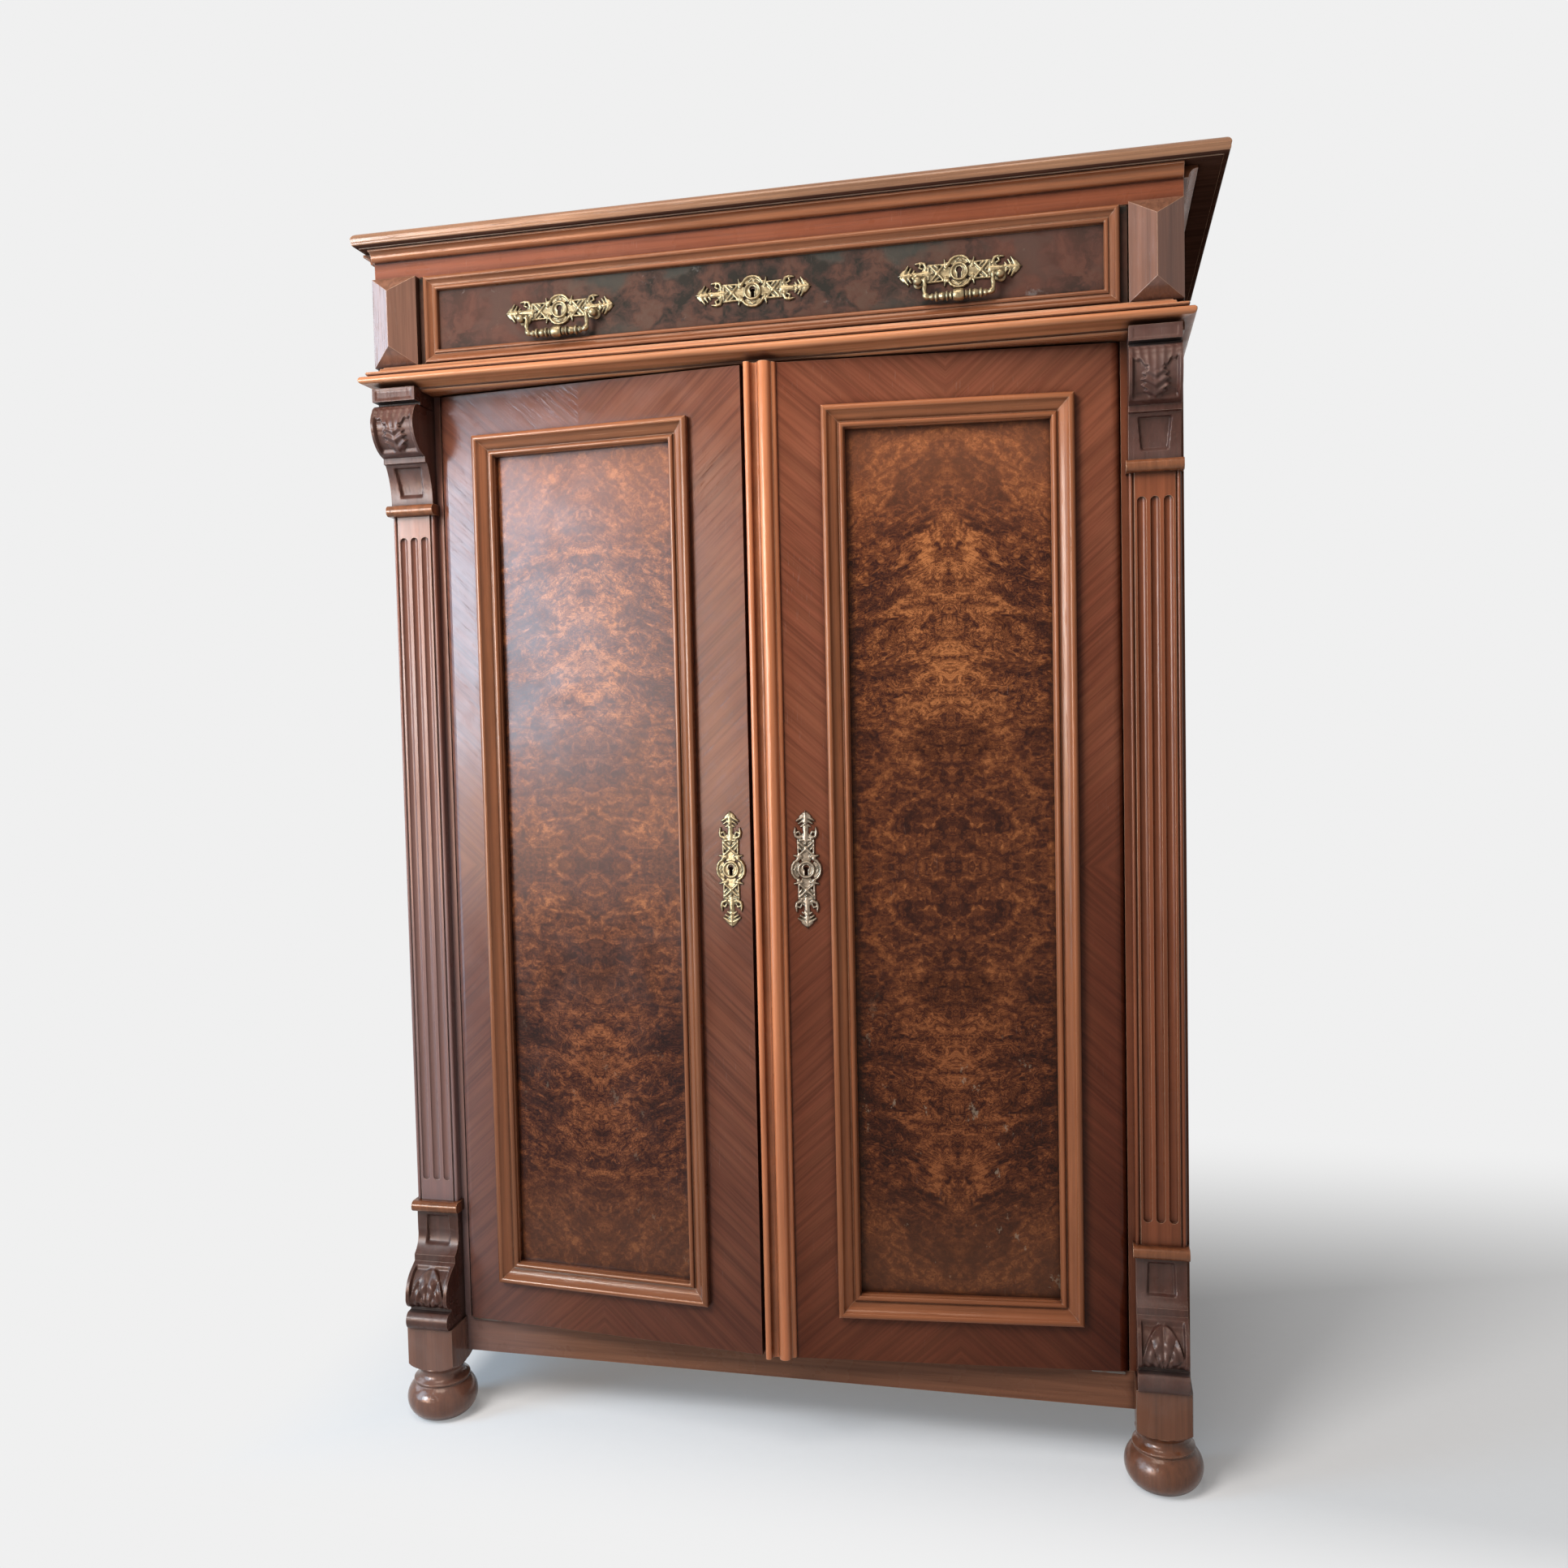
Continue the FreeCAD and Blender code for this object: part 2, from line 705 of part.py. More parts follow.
def door_moulding(side):
    w, p = door_moulding_width, door_moulding_proud
    sink = panel_face_sink
    profile = [
        (0, 0),
        (0, 0.45 * p),
        ((0.10 * w, 0.98 * p), (0.24 * w, 0.92 * p)),
        ((0.34 * w, 0.62 * p), (0.50 * w, 0.40 * p)),
        ((0.62 * w, 0.24 * p), (0.68 * w, 0.12 * p)),
        (0.72 * w, 0.12 * p),
        ((0.84 * w, 0.42 * p), (0.96 * w, 0.05 * p)),
        (w, -0.10 * p),
        (w, slip_gap - sink),
        (panel_rebate + slip_gap, slip_gap - sink),
        (panel_rebate + slip_gap, 0),
    ]
    x0, x1 = sorted((side * moulding_inner_x, side * moulding_outer_x))
    return mitred_frame(profile, x0, x1, door_foot + moulding_foot_margin, door_head - moulding_head_margin, -door_proud)


astragal_width = 35.0
astragal_proud = 13.0
astragal_end_gap = 2.0


def astragal():
    w, p = astragal_width, astragal_proud
    x0 = door_span(1)[0]
    profile = [
        (0, 0),
        (0, 0.55 * p),
        ((0.10 * w, 0.95 * p), (0.20 * w, 0.62 * p)),
        ((0.31 * w, 0.34 * p), (0.42 * w, 0.40 * p)),
        (0.43 * w, 0.52 * p),
        ((0.63 * w, p), (0.83 * w, 0.52 * p)),
        (0.86 * w, 0.40 * p),
        ((0.96 * w, 0.30 * p), (w, 0)),
    ]
    z0, z1 = door_foot + astragal_end_gap, door_head
    place = lambda a, b: V(x0 + a, -door_proud - b, z0)
    return extruded(profile, place, V(0, 0, z1 - z0))


# Pivot hinges: a plate with a pin let into each end of a door, and a socket plate in the case

pivot_radius = 4.0
pivot_plate_length = 38.0
pivot_plate_width = 14.0
pivot_plate_thickness = 2.5
socket_plate_length = 36.0


def plate_box(side, z0, z1, length):
    near, far = pivot_x + pivot_plate_width / 2, pivot_x - length + pivot_plate_width / 2
    x0, x1 = sorted((side * near, side * far))
    return box(x0, x1, pivot_y - pivot_plate_width / 2, pivot_y + pivot_plate_width / 2, z0, z1)


def pivot_seat(side, level, up):
    """Sinking for a pivot plate in a door's end."""
    z0, z1 = sorted((level - up * cut_over, level + up * pivot_plate_thickness))
    return plate_box(side, z0, z1, pivot_plate_length)


def pivot_plates(side):
    plates = []
    for level, up, rail in ((door_foot, 1, block_top), (door_head, -1, waist_foot)):
        z0, z1 = sorted((level, level + up * pivot_plate_thickness))
        plate = plate_box(side, z0, z1, pivot_plate_length)
        tip = rail - up * (pivot_plate_thickness - slip_gap)
        z0, z1 = sorted((level + up * pivot_plate_thickness, tip))
        pin = Part.makeCylinder(pivot_radius, z1 - z0, V(side * pivot_x, pivot_y, z0))
        plates.append(fused([plate, pin]))
    return plates


def pivot_cutter(side, level, up):
    """Sinking for a socket plate in a rail."""
    z0, z1 = sorted((level - up * cut_over, level + up * pivot_plate_thickness))
    return plate_box(side, z0, z1, socket_plate_length)


def pivot_sockets():
    sockets = []
    for side in (-1, 1):
        for level, up in ((block_top, -1), (waist_foot, 1)):
            z0, z1 = sorted((level, level + up * pivot_plate_thickness))
            plate = plate_box(side, z0, z1, socket_plate_length)
            hole = Part.makeCylinder(pivot_radius + pin_gap, z1 - z0, V(side * pivot_x, pivot_y, z0))
            sockets.append(plate.cut(hole))
    return sockets


# Brass: escutcheons, pulls and bails

plate_thickness = 2.5
keyhole_radius = 3.2
keyhole_slot = 9.0
keyhole_depth = 6.0
escutcheon_width = 36.0
escutcheon_height = 134.0
escutcheon_level = 562.5
left_escutcheon_margin = 24.5
right_escutcheon_margin = 58.0
left_escutcheon_x = meeting_x - left_escutcheon_margin
right_escutcheon_x = meeting_x + right_escutcheon_margin
key_z = door_foot + escutcheon_level


def keyhole_cut(x, y, z, depth):
    round_part = Part.makeCylinder(keyhole_radius, depth, V(x, y, z), V(0, 1, 0))
    slot = box(x - keyhole_radius / 2, x + keyhole_radius / 2, y, y + depth, z - keyhole_slot, z)
    return round_part.fuse(slot)


def keyhole_bore(x, depth):
    return keyhole_cut(x, -door_proud - cut_over, key_z, depth + cut_over)


cast_outline_shares = [
    (1, 0),
    (0.88, 0.10),
    (0.61, 0.17),
    (0.82, 0.225),
    (0.58, 0.27),
    (0.58, 0.46),
    (0.77, 0.54),
    (0.76, 0.61),
    (0.32, 0.69),
    (0.27, 0.75),
    (0.64, 0.80),
    (0.34, 0.90),
    (0, 1),
]


def flip(steps, sx, sz):
    return [((p[0][0] * sx, p[0][1] * sz), (p[1][0] * sx, p[1][1] * sz)) if isinstance(p[0], tuple)
            else (p[0] * sx, p[1] * sz) for p in steps]


def backwards(steps):
    """The same chain of points and arcs from its end to its start."""
    ends = [s[1] if isinstance(s[0], tuple) else s for s in steps]
    chain = [ends[-1]]
    for i in range(len(steps) - 1, 0, -1):
        if isinstance(steps[i][0], tuple):
            chain.append((steps[i][0], ends[i - 1]))
        else:
            chain.append(ends[i - 1])
    return chain


def cast_plate(x, z, y, wide, tall, upright):
    """Pointed cast plate centred at x, z with its back at y; upright puts its long side along Z."""
    quarter = flip(cast_outline_shares, wide / 2, tall / 2)
    steps = quarter + backwards(flip(quarter, -1, 1))[1:]
    steps += flip(quarter, -1, -1)[1:] + backwards(flip(quarter, 1, -1))[1:]

    def place(a, b):
        return V(x + a, y, z + b) if upright else V(x + b, y, z + a)

    return extruded(steps, place, V(0, -plate_thickness, 0))


def door_escutcheon(side):
    x = left_escutcheon_x if side < 0 else right_escutcheon_x
    plate = cast_plate(x, key_z, -door_proud, escutcheon_width, escutcheon_height, True)
    return plate.cut(keyhole_cut(x, -door_proud - plate_thickness - cut_over, key_z, plate_thickness + 2 * cut_over))


drawer_plate_y = drawer_front_y
drawer_key_z = waist_top + 0.49 * frieze_opening_height
drawer_escutcheon_width = 36.0
pull_plate_length = 133.0
pull_plate_height = 40.0
pull_place_share = 0.565
pull_centre_x = pull_place_share * pyramid_inner
bail_half_span = 44.0
bail_radius = 2.4
bail_pin_radius = 1.8
bail_drop = 20.0
bail_bend = 6.0
bail_bead_radius = 4.2
bail_bead_length = 9.0
pin_bury = 3.0
post_radius = 4.6
post_reach = 13.0
bail_axis_reach = 9.0
bail_axis_sink = 9.0
bail_axis_z = drawer_key_z - bail_axis_sink


def drawer_escutcheon():
    plate = cast_plate(0, drawer_key_z, drawer_plate_y, drawer_escutcheon_width, pull_plate_length, False)
    return plate.cut(keyhole_cut(0, drawer_plate_y - plate_thickness - cut_over, drawer_key_z,
                                 plate_thickness + 2 * cut_over))


def pull_plate(side):
    x = side * pull_centre_x
    back = drawer_plate_y
    whole = cast_plate(x, drawer_key_z, back, pull_plate_height, pull_plate_length, False)
    axis_y = back - plate_thickness - bail_axis_reach
    for end in (-1, 1):
        post_x = x + end * bail_half_span
        post = Part.makeCylinder(post_radius, plate_thickness + post_reach, V(post_x, back, bail_axis_z), V(0, -1, 0))
        whole = whole.fuse(post)
        start = V(post_x - end * 2 * post_radius, axis_y, bail_axis_z)
        bore = Part.makeCylinder(bail_pin_radius + pin_gap, 2 * post_radius + pin_bury, start, V(end, 0, 0))
        whole = whole.cut(bore)
    return whole.removeSplitter()


def bail(side):
    """Hanging handle: a bar with a turned ring, bent up to the posts, with a pin at each end."""
    x = side * pull_centre_x
    y = drawer_plate_y - plate_thickness - bail_axis_reach
    arm_x = bail_half_span - post_radius - running_gap - bail_radius
    low = bail_axis_z - bail_drop
    path = Part.makePolygon([
        V(x - arm_x, y, bail_axis_z + bail_radius),
        V(x - arm_x, y, low + bail_bend),
        V(x - arm_x + bail_bend, y, low),
        V(x + arm_x - bail_bend, y, low),
        V(x + arm_x, y, low + bail_bend),
        V(x + arm_x, y, bail_axis_z + bail_radius),
    ])
    ring = Part.Wire(Part.makeCircle(bail_radius, V(x - arm_x, y, bail_axis_z + bail_radius), V(0, 0, -1)))
    shapes = [path.makePipeShell([ring], True, False, 1)]
    shapes.append(Part.makeCylinder(bail_bead_radius, bail_bead_length, V(x - bail_bead_length / 2, y, low), V(1, 0, 0)))
    for end in (-1, 1):
        pin_length = bail_radius + running_gap + pin_bury
        shapes.append(Part.makeCylinder(bail_pin_radius, pin_length, V(x + end * arm_x, y, bail_axis_z), V(end, 0, 0)))
    return fused(shapes)


# Locks and bolts

lock_width = 62.0
lock_height = 70.0
lock_depth = 12.0
lock_bolt_width = 12.0
lock_bolt_thickness = 5.0
lock_bolt_length = 30.0
lock_bolt_throw = 7.0
lock_y = -door_proud + door_thickness - lock_depth
bolt_clear = 2.5
ajar_clear = 2.0
lock_bolt_y = lock_y + lock_depth / 2


def door_lock_box(margin):
    x0 = door_span(1)[0] + 2 * meeting_gap
    return (x0 - margin, x0 + lock_width + margin, lock_y - margin / 2, lock_y + lock_depth,
            key_z - lock_height / 2 - margin, key_z + lock_height / 2 + margin)


def door_bolt_slot(gap):
    x0 = door_span(1)[0] - cut_over
    half_z, half_y = lock_bolt_width / 2 + gap, lock_bolt_thickness / 2 + gap
    z = key_z - lock_height / 4
    return box(x0, x0 + lock_bolt_length + 2 * cut_over + 2 * meeting_gap, lock_bolt_y - half_y, lock_bolt_y + half_y,
               z - half_z, z + half_z)


def door_lock_pocket():
    x0, x1, y0, y1, z0, z1 = door_lock_box(slip_gap)
    return box(x0, x1, y0, y1 + cut_over, z0, z1).fuse(door_bolt_slot(slip_gap))


def door_lock():
    return box(*door_lock_box(0)).cut(door_bolt_slot(slip_gap))


def door_lock_bolt():
    x0 = door_span(1)[0]
    z = key_z - lock_height / 4
    return box(x0, x0 + lock_bolt_length, lock_bolt_y - lock_bolt_thickness / 2, lock_bolt_y + lock_bolt_thickness / 2,
               z - lock_bolt_width / 2, z + lock_bolt_width / 2)


def door_bolt_mortise():
    x1 = door_span(-1)[1]
    z = key_z - lock_height / 4
    half_z, half_y = lock_bolt_width / 2 + bolt_clear, lock_bolt_thickness / 2 + bolt_clear
    deep = lock_bolt_throw + 2 * bolt_clear
    return box(x1 - deep, x1 + cut_over, lock_bolt_y - half_y - ajar_clear, lock_bolt_y + half_y,
               z - half_z, z + half_z)


foot_bolt_width = 12.0
foot_bolt_thickness = 5.0
foot_bolt_length = 90.0
foot_bolt_margin = 21.0
foot_bolt_x = meeting_x - foot_bolt_margin
foot_bolt_throw = 10.0
foot_bolt_lift = 1.5
foot_bolt_rear = -door_proud + door_thickness + running_gap + foot_bolt_thickness
staple_width = 26.0
staple_height = 12.0
staple_wall = 2.5
staple_level_shares = (0.16, 0.78)
knob_radius = 2.5
knob_reach = 8.0


def foot_bolt_bar(gap, z0, z1):
    half = foot_bolt_width / 2 + gap
    return box(foot_bolt_x - half, foot_bolt_x + half, foot_bolt_rear - foot_bolt_thickness - gap,
               foot_bolt_rear + gap, z0, z1)


def foot_bolt_hole():
    return foot_bolt_bar(bolt_clear, block_top - foot_bolt_throw - bolt_clear, block_top + cut_over)


def foot_bolt():
    z0 = door_foot + foot_bolt_lift
    bar = foot_bolt_bar(0, z0, z0 + foot_bolt_length)
    knob = Part.makeCylinder(knob_radius, knob_reach, V(foot_bolt_x, foot_bolt_rear, z0 + foot_bolt_length / 2), V(0, 1, 0))
    return fused([bar, knob])


def bolt_staples():
    """Two staples on the back of the left door that guide its foot bolt."""
    rear = -door_proud + door_thickness
    reach = foot_bolt_rear + slip_gap + staple_wall
    staples = []
    for share in staple_level_shares:
        z0 = door_foot + foot_bolt_lift + share * foot_bolt_length
        z1 = z0 + staple_height
        bridge = box(foot_bolt_x - staple_width / 2, foot_bolt_x + staple_width / 2, rear, reach, z0, z1)
        staples.append(bridge.cut(foot_bolt_bar(slip_gap / 2, z0 - cut_over, z1 + cut_over)))
    return staples


# Drawer box, runners and kickers

drawer_box_height = 97.0
drawer_bottom_lift = 8.0
drawer_bottom_thickness = 6.0
drawer_moulding_width = 17.0
drawer_moulding_proud = 8.0
drawer_moulding_margin = 7.5
guide_height = 22.0
runner_width = 20.0
drawer_half = pyramid_inner - drawer_side_gap
drawer_front_rear = drawer_front_y + drawer_front_thickness
drawer_foot = waist_top + drawer_foot_gap
drawer_rear = back_front - drawer_rear_gap


def drawer_front():
    head = frieze_foot - drawer_foot_gap
    front = box(-drawer_half, drawer_half, drawer_front_y, drawer_front_rear, drawer_foot, head)
    front = front.cut(drawer_bolt_slot(slip_gap))
    return front.cut(keyhole_cut(0, drawer_front_y - cut_over, drawer_key_z, keyhole_depth + cut_over))


def drawer_moulding():
    w, p = drawer_moulding_width, drawer_moulding_proud
    profile = [
        (0, 0),
        (0, 0.50 * p),
        ((0.14 * w, 0.98 * p), (0.30 * w, 0.90 * p)),
        ((0.45 * w, 0.58 * p), (0.66 * w, 0.44 * p)),
        (0.70 * w, 0.60 * p),
        ((0.84 * w, 0.66 * p), (0.96 * w, 0.20 * p)),
        (w, 0),
    ]
    reach = drawer_half - drawer_moulding_margin
    head = frieze_foot - drawer_foot_gap
    return mitred_frame(profile, -reach, reach, drawer_foot, head, drawer_front_y)


def drawer_side():
    x1 = drawer_half - running_gap
    return box(x1 - drawer_side_thickness, x1, drawer_front_rear, drawer_rear,
               drawer_foot, drawer_foot + drawer_box_height)


def drawer_back():
    reach = drawer_half - running_gap - drawer_side_thickness
    return box(-reach, reach, drawer_rear - drawer_side_thickness, drawer_rear,
               drawer_foot + drawer_bottom_lift + drawer_bottom_thickness, drawer_foot + drawer_box_height)


def drawer_bottom():
    reach = drawer_half - running_gap - drawer_side_thickness
    z0 = drawer_foot + drawer_bottom_lift
    return box(-reach, reach, drawer_front_rear, drawer_rear, z0, z0 + drawer_bottom_thickness)


def drawer_guides():
    """A runner with its guide under each side of the drawer, and a kicker above it."""
    guides = []
    inner = drawer_half - running_gap - drawer_side_thickness
    runner_top = drawer_foot - running_gap
    guide_inner = drawer_half + running_gap
    for side in (-1, 1):
        runner = box(inner, side_inner, post_depth, back_front, waist_foot + dust_board_thickness, runner_top)
        guide = box(guide_inner, side_inner, post_depth, back_front, runner_top, runner_top + guide_height)
        kicker = box(inner, side_inner, post_depth, back_front, frieze_foot, carcass_top)
        for shape in (fused([runner, guide]), kicker):
            guides.append(shape if side > 0 else mirrored(shape))
    return guides


drawer_lock_width = 64.0
drawer_lock_height = 44.0
drawer_lock_depth = 11.0
drawer_bolt_width = 22.0
drawer_bolt_thickness = 5.0
drawer_bolt_length = 24.0
drawer_bolt_throw = 8.0
drawer_bolt_y = drawer_front_rear + drawer_lock_depth / 2
drawer_bolt_head = frieze_foot - drawer_foot_gap


def drawer_bolt_slot(gap):
    half_x, half_y = drawer_bolt_width / 2 + gap, drawer_bolt_thickness / 2 + gap
    return box(-half_x, half_x, drawer_bolt_y - half_y, drawer_bolt_y + half_y,
               drawer_bolt_head - drawer_bolt_length - gap, drawer_bolt_head + cut_over)


def drawer_lock():
    half = drawer_lock_width / 2
    case = box(-half, half, drawer_front_rear, drawer_front_rear + drawer_lock_depth,
               drawer_bolt_head - drawer_lock_height, drawer_bolt_head)
    return case.cut(drawer_bolt_slot(slip_gap))


def drawer_lock_bolt():
    half_x, half_y = drawer_bolt_width / 2, drawer_bolt_thickness / 2
    return box(-half_x, half_x, drawer_bolt_y - half_y, drawer_bolt_y + half_y,
               drawer_bolt_head - drawer_bolt_length, drawer_bolt_head)


def drawer_bolt_mortise():
    half_x, half_y = drawer_bolt_width / 2 + bolt_clear, drawer_bolt_thickness / 2 + bolt_clear
    return box(-half_x, half_x, drawer_bolt_y - half_y, drawer_bolt_y + half_y,
               frieze_foot - cut_over, frieze_foot + drawer_bolt_throw + bolt_clear)


def make_parts():
    parts = {}
    for name, shape in (
        ("side_frame", side_frame()), ("front_post", front_post()),
        ("pyramid_block", pyramid_block()),
    ):
        parts[name + "_right"] = [shape]
        parts[name + "_left"] = [mirrored(shape)]
    for name, shape in (
        ("side_panels", side_panel()), ("front_legs", front_leg()), ("rear_legs", rear_leg()),
        ("top_cleats", top_cleat()), ("pilasters", pilaster()),
        ("upper_consoles", upper_console()), ("lower_consoles", lower_console()),
        ("waist_moulding_sides", waist_moulding_side()), ("drawer_sides", drawer_side()),
    ):
        parts[name] = [shape, mirrored(shape)]
    parts["bottom_rail"] = [bottom_rail()]
    parts["bottom_board"] = [bottom_board()]
    parts["waist_rail"] = [waist_rail()]
    parts["dust_board"] = [dust_board()]
    parts["frieze_rail"] = [frieze_rail()]
    parts["back_boards"] = back_boards()
    parts["shelves"] = [shelf(level) for level in shelf_levels()]
    parts["shelf_battens"] = shelf_battens()
    parts["waist_moulding_front"] = [waist_moulding_front()]
    parts["cornice_moulding"] = [cornice_moulding()]
    parts["top_board"] = [top_board()]
    collars = [collar(lower_collar_foot), collar(upper_collar_foot)]
    parts["pilaster_collars"] = collars + [mirrored(c) for c in collars]
    parts["pivot_sockets"] = pivot_sockets()
    parts["drawer_front"] = [drawer_front()]
    parts["drawer_moulding"] = [drawer_moulding()]
    parts["drawer_back"] = [drawer_back()]
    parts["drawer_bottom"] = [drawer_bottom()]
    parts["drawer_guides"] = drawer_guides()
    parts["drawer_lock"] = [drawer_lock()]
    parts["drawer_lock_bolt"] = [drawer_lock_bolt()]
    parts["drawer_escutcheon"] = [drawer_escutcheon()]
    parts["pull_plates"] = [pull_plate(-1), pull_plate(1)]
    for side, word in ((-1, "left"), (1, "right")):
        parts["bail_" + word] = [bail(side)]
        parts[word + "_door_frame"] = [ajar(door_frame(side), side)]
        parts[word + "_door_panel"] = [ajar(door_panel(side), side)]
        parts[word + "_door_moulding"] = [ajar(door_moulding(side), side)]
        parts[word + "_door_pivots"] = [ajar(p, side) for p in pivot_plates(side)]
        parts[word + "_door_escutcheon"] = [ajar(door_escutcheon(side), side)]
    parts["door_astragal"] = [ajar(astragal(), 1)]
    parts["door_lock"] = [ajar(door_lock(), 1)]
    parts["door_lock_bolt"] = [ajar(door_lock_bolt(), 1)]
    parts["foot_bolt"] = [ajar(foot_bolt(), -1)]
    parts["foot_bolt_staples"] = [ajar(s, -1) for s in bolt_staples()]
    return parts


def export(parts):
    os.makedirs("parts", exist_ok=True)
    for name, shapes in parts.items():
        moved = [s.translated(V(-origin_x, -origin_y, 0)) for s in shapes]
        whole = moved[0] if len(moved) == 1 else Part.makeCompound(moved)
        whole.exportStep("parts/" + name + ".step")


parts = make_parts()
export(parts)
print(len(parts), "nodes,", sum(len(p) for p in parts.values()), "solids")
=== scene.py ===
import json
import math

import bmesh
import bpy
import numpy as np
from bpy.props import FloatProperty, FloatVectorProperty, IntProperty, PointerProperty
from bpy.types import Operator, Panel, PropertyGroup
from mathutils import Matrix, Vector

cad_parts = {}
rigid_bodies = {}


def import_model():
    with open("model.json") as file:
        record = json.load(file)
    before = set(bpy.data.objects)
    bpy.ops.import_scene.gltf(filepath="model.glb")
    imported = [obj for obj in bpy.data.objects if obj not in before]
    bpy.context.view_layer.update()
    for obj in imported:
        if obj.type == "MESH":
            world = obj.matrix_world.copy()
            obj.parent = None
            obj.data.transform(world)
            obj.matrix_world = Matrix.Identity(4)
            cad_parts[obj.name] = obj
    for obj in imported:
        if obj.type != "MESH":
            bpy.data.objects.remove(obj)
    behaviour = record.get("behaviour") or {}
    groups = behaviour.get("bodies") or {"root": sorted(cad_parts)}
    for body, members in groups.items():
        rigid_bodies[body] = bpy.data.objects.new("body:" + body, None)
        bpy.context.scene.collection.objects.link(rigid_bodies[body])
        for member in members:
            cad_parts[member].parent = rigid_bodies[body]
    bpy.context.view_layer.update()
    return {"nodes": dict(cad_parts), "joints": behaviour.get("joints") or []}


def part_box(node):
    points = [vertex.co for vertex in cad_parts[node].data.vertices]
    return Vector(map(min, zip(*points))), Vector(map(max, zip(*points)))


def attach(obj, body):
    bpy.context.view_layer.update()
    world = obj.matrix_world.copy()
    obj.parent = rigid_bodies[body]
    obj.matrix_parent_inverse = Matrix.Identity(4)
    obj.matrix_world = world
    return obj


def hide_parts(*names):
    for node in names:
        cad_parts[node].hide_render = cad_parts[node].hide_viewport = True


bl_info = {
    "name": "Two-door cupboard looks",
    "version": (1, 0, 0),
    "blender": (4, 5, 0),
    "location": "3D View > Sidebar > Cupboard",
    "description": "Veneers, carving, cast brass and studio for a panelled cupboard with a drawer",
    "category": "Object",
}

for leftover in list(bpy.data.objects):
    bpy.data.objects.remove(leftover)

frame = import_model()
NODES = frame["nodes"]


# Sizes, colours and powers that a user would change


def length_property(name, description, default):
    return FloatProperty(name=name, description=description, default=default, unit="LENGTH")


def colour_property(name, description, default):
    return FloatVectorProperty(name=name, description=description, default=default, subtype="COLOR")


def power_property(name, description, default):
    return FloatProperty(name=name, description=description, default=default, subtype="POWER")


class CupboardSizes(PropertyGroup):
    bun_radius: length_property("Bun radius", "Widest radius of a turned foot", 0.0425)
    leg_width: length_property("Leg width", "Side of the square above the turned foot", 0.060)
    console_width: length_property("Console width", "Width of a carved scroll bracket", 0.054)
    console_reach: length_property("Console reach", "How far a bracket stands off the post", 0.056)
    carving_depth: length_property("Carving depth", "Depth of the ground behind the carved leaves", 0.0042)
    plate_length: length_property("Plate length", "Length of a cast plate from tip to tip", 0.133)
    plate_relief: length_property("Plate relief", "Height of the cast relief off the wood", 0.0034)
    bail_span: length_property("Bail span", "Distance between the two posts of a pull", 0.088)
    bail_drop: length_property("Bail drop", "How far a bail hangs below its pins", 0.0186)
    bail_radius: length_property("Bail radius", "Radius of the thin part of a bail", 0.0025)
    screw_radius: length_property("Screw head radius", "Radius of the screws in the ironwork", 0.0036)
    bun_height: length_property("Bun height", "Height of a turned foot up to its neck", 0.050)
    neck_height: length_property("Neck height", "Height of the hollow neck above a turned foot", 0.015)
    turning_steps: IntProperty(name="Turning steps", description="Points round a turned piece", default=96)


class CupboardColours(PropertyGroup):
    moulding: colour_property("Mouldings", "Polish on the mouldings", (0.300, 0.104, 0.044))
    post: colour_property("Posts", "Polish on the posts and pilasters", (0.215, 0.063, 0.027))
    console: colour_property("Consoles", "Polish on the carved brackets", (0.080, 0.029, 0.020))
    frieze: colour_property("Frieze", "Dark red polish above the drawer", (0.330, 0.094, 0.042))
    stile: colour_property("Door stiles", "Slanted veneer on the doors", (0.160, 0.050, 0.026))
    burl_light: colour_property("Burl light", "Lightest tone of the door burl", (0.430, 0.155, 0.052))
    burl_dark: colour_property("Burl dark", "Darkest tone of the door burl", (0.020, 0.007, 0.006))
    drawer_light: colour_property("Drawer burl light", "Light tone of the drawer's burl", (0.092, 0.052, 0.038))
    drawer_dark: colour_property("Drawer burl dark", "Dark tone of the drawer's burl", (0.026, 0.023, 0.019))
    pine: colour_property("Softwood", "Bare softwood inside and behind", (0.420, 0.250, 0.120))
    brass: colour_property("Brass", "Worn crests of the cast brass", (0.400, 0.302, 0.166))
    iron: colour_property("Iron", "Dull iron of the locks and pivots", (0.120, 0.100, 0.085))


class CupboardStudio(PropertyGroup):
    backdrop: FloatProperty(name="Backdrop", description="Level of the pale surround", default=0.871, min=0, max=1)
    ambient: FloatProperty(name="Ambient", description="Level of the soft light from all round", default=0.115)
    window_power: power_property("Window", "Power of the tall window seen in the polish at the left", 118.0)
    wall_power: power_property("Bright wall", "Power of the paler wall seen in the polish beside it", 104.0)
    key_power: power_property("Key", "Power of the soft lamp that lights the front from the left", 54.0)
    left_power: power_property("Left light", "Power of the cool soft lamp low at the left", 30.0)
    side_power: power_property("Side window", "Power of the window seen in facets that face left", 22.0)
    top_power: power_property("Top", "Power of the soft lamp above", 23.0)
    lens: FloatProperty(name="Lens", description="Focal length for a 36 mm frame", default=30.47, unit="CAMERA")


def sizes():
    return bpy.context.scene.cupboard_sizes


def colours():
    return bpy.context.scene.cupboard_colours


def studio():
    return bpy.context.scene.cupboard_studio


# Shader nodes


class Value:
    """A value in a shader tree; sums, differences and products of values add math nodes."""

    def __init__(self, tree, socket):
        self.tree, self.socket = tree, socket

    def __add__(self, other):
        return self.tree.calc("ADD", self, other)

    def __sub__(self, other):
        return self.tree.calc("SUBTRACT", self, other)

    def __rsub__(self, other):
        return self.tree.calc("SUBTRACT", other, self)

    def __mul__(self, other):
        return self.tree.calc("MULTIPLY", self, other)

    def __abs__(self):
        return self.tree.calc("ABSOLUTE", self)


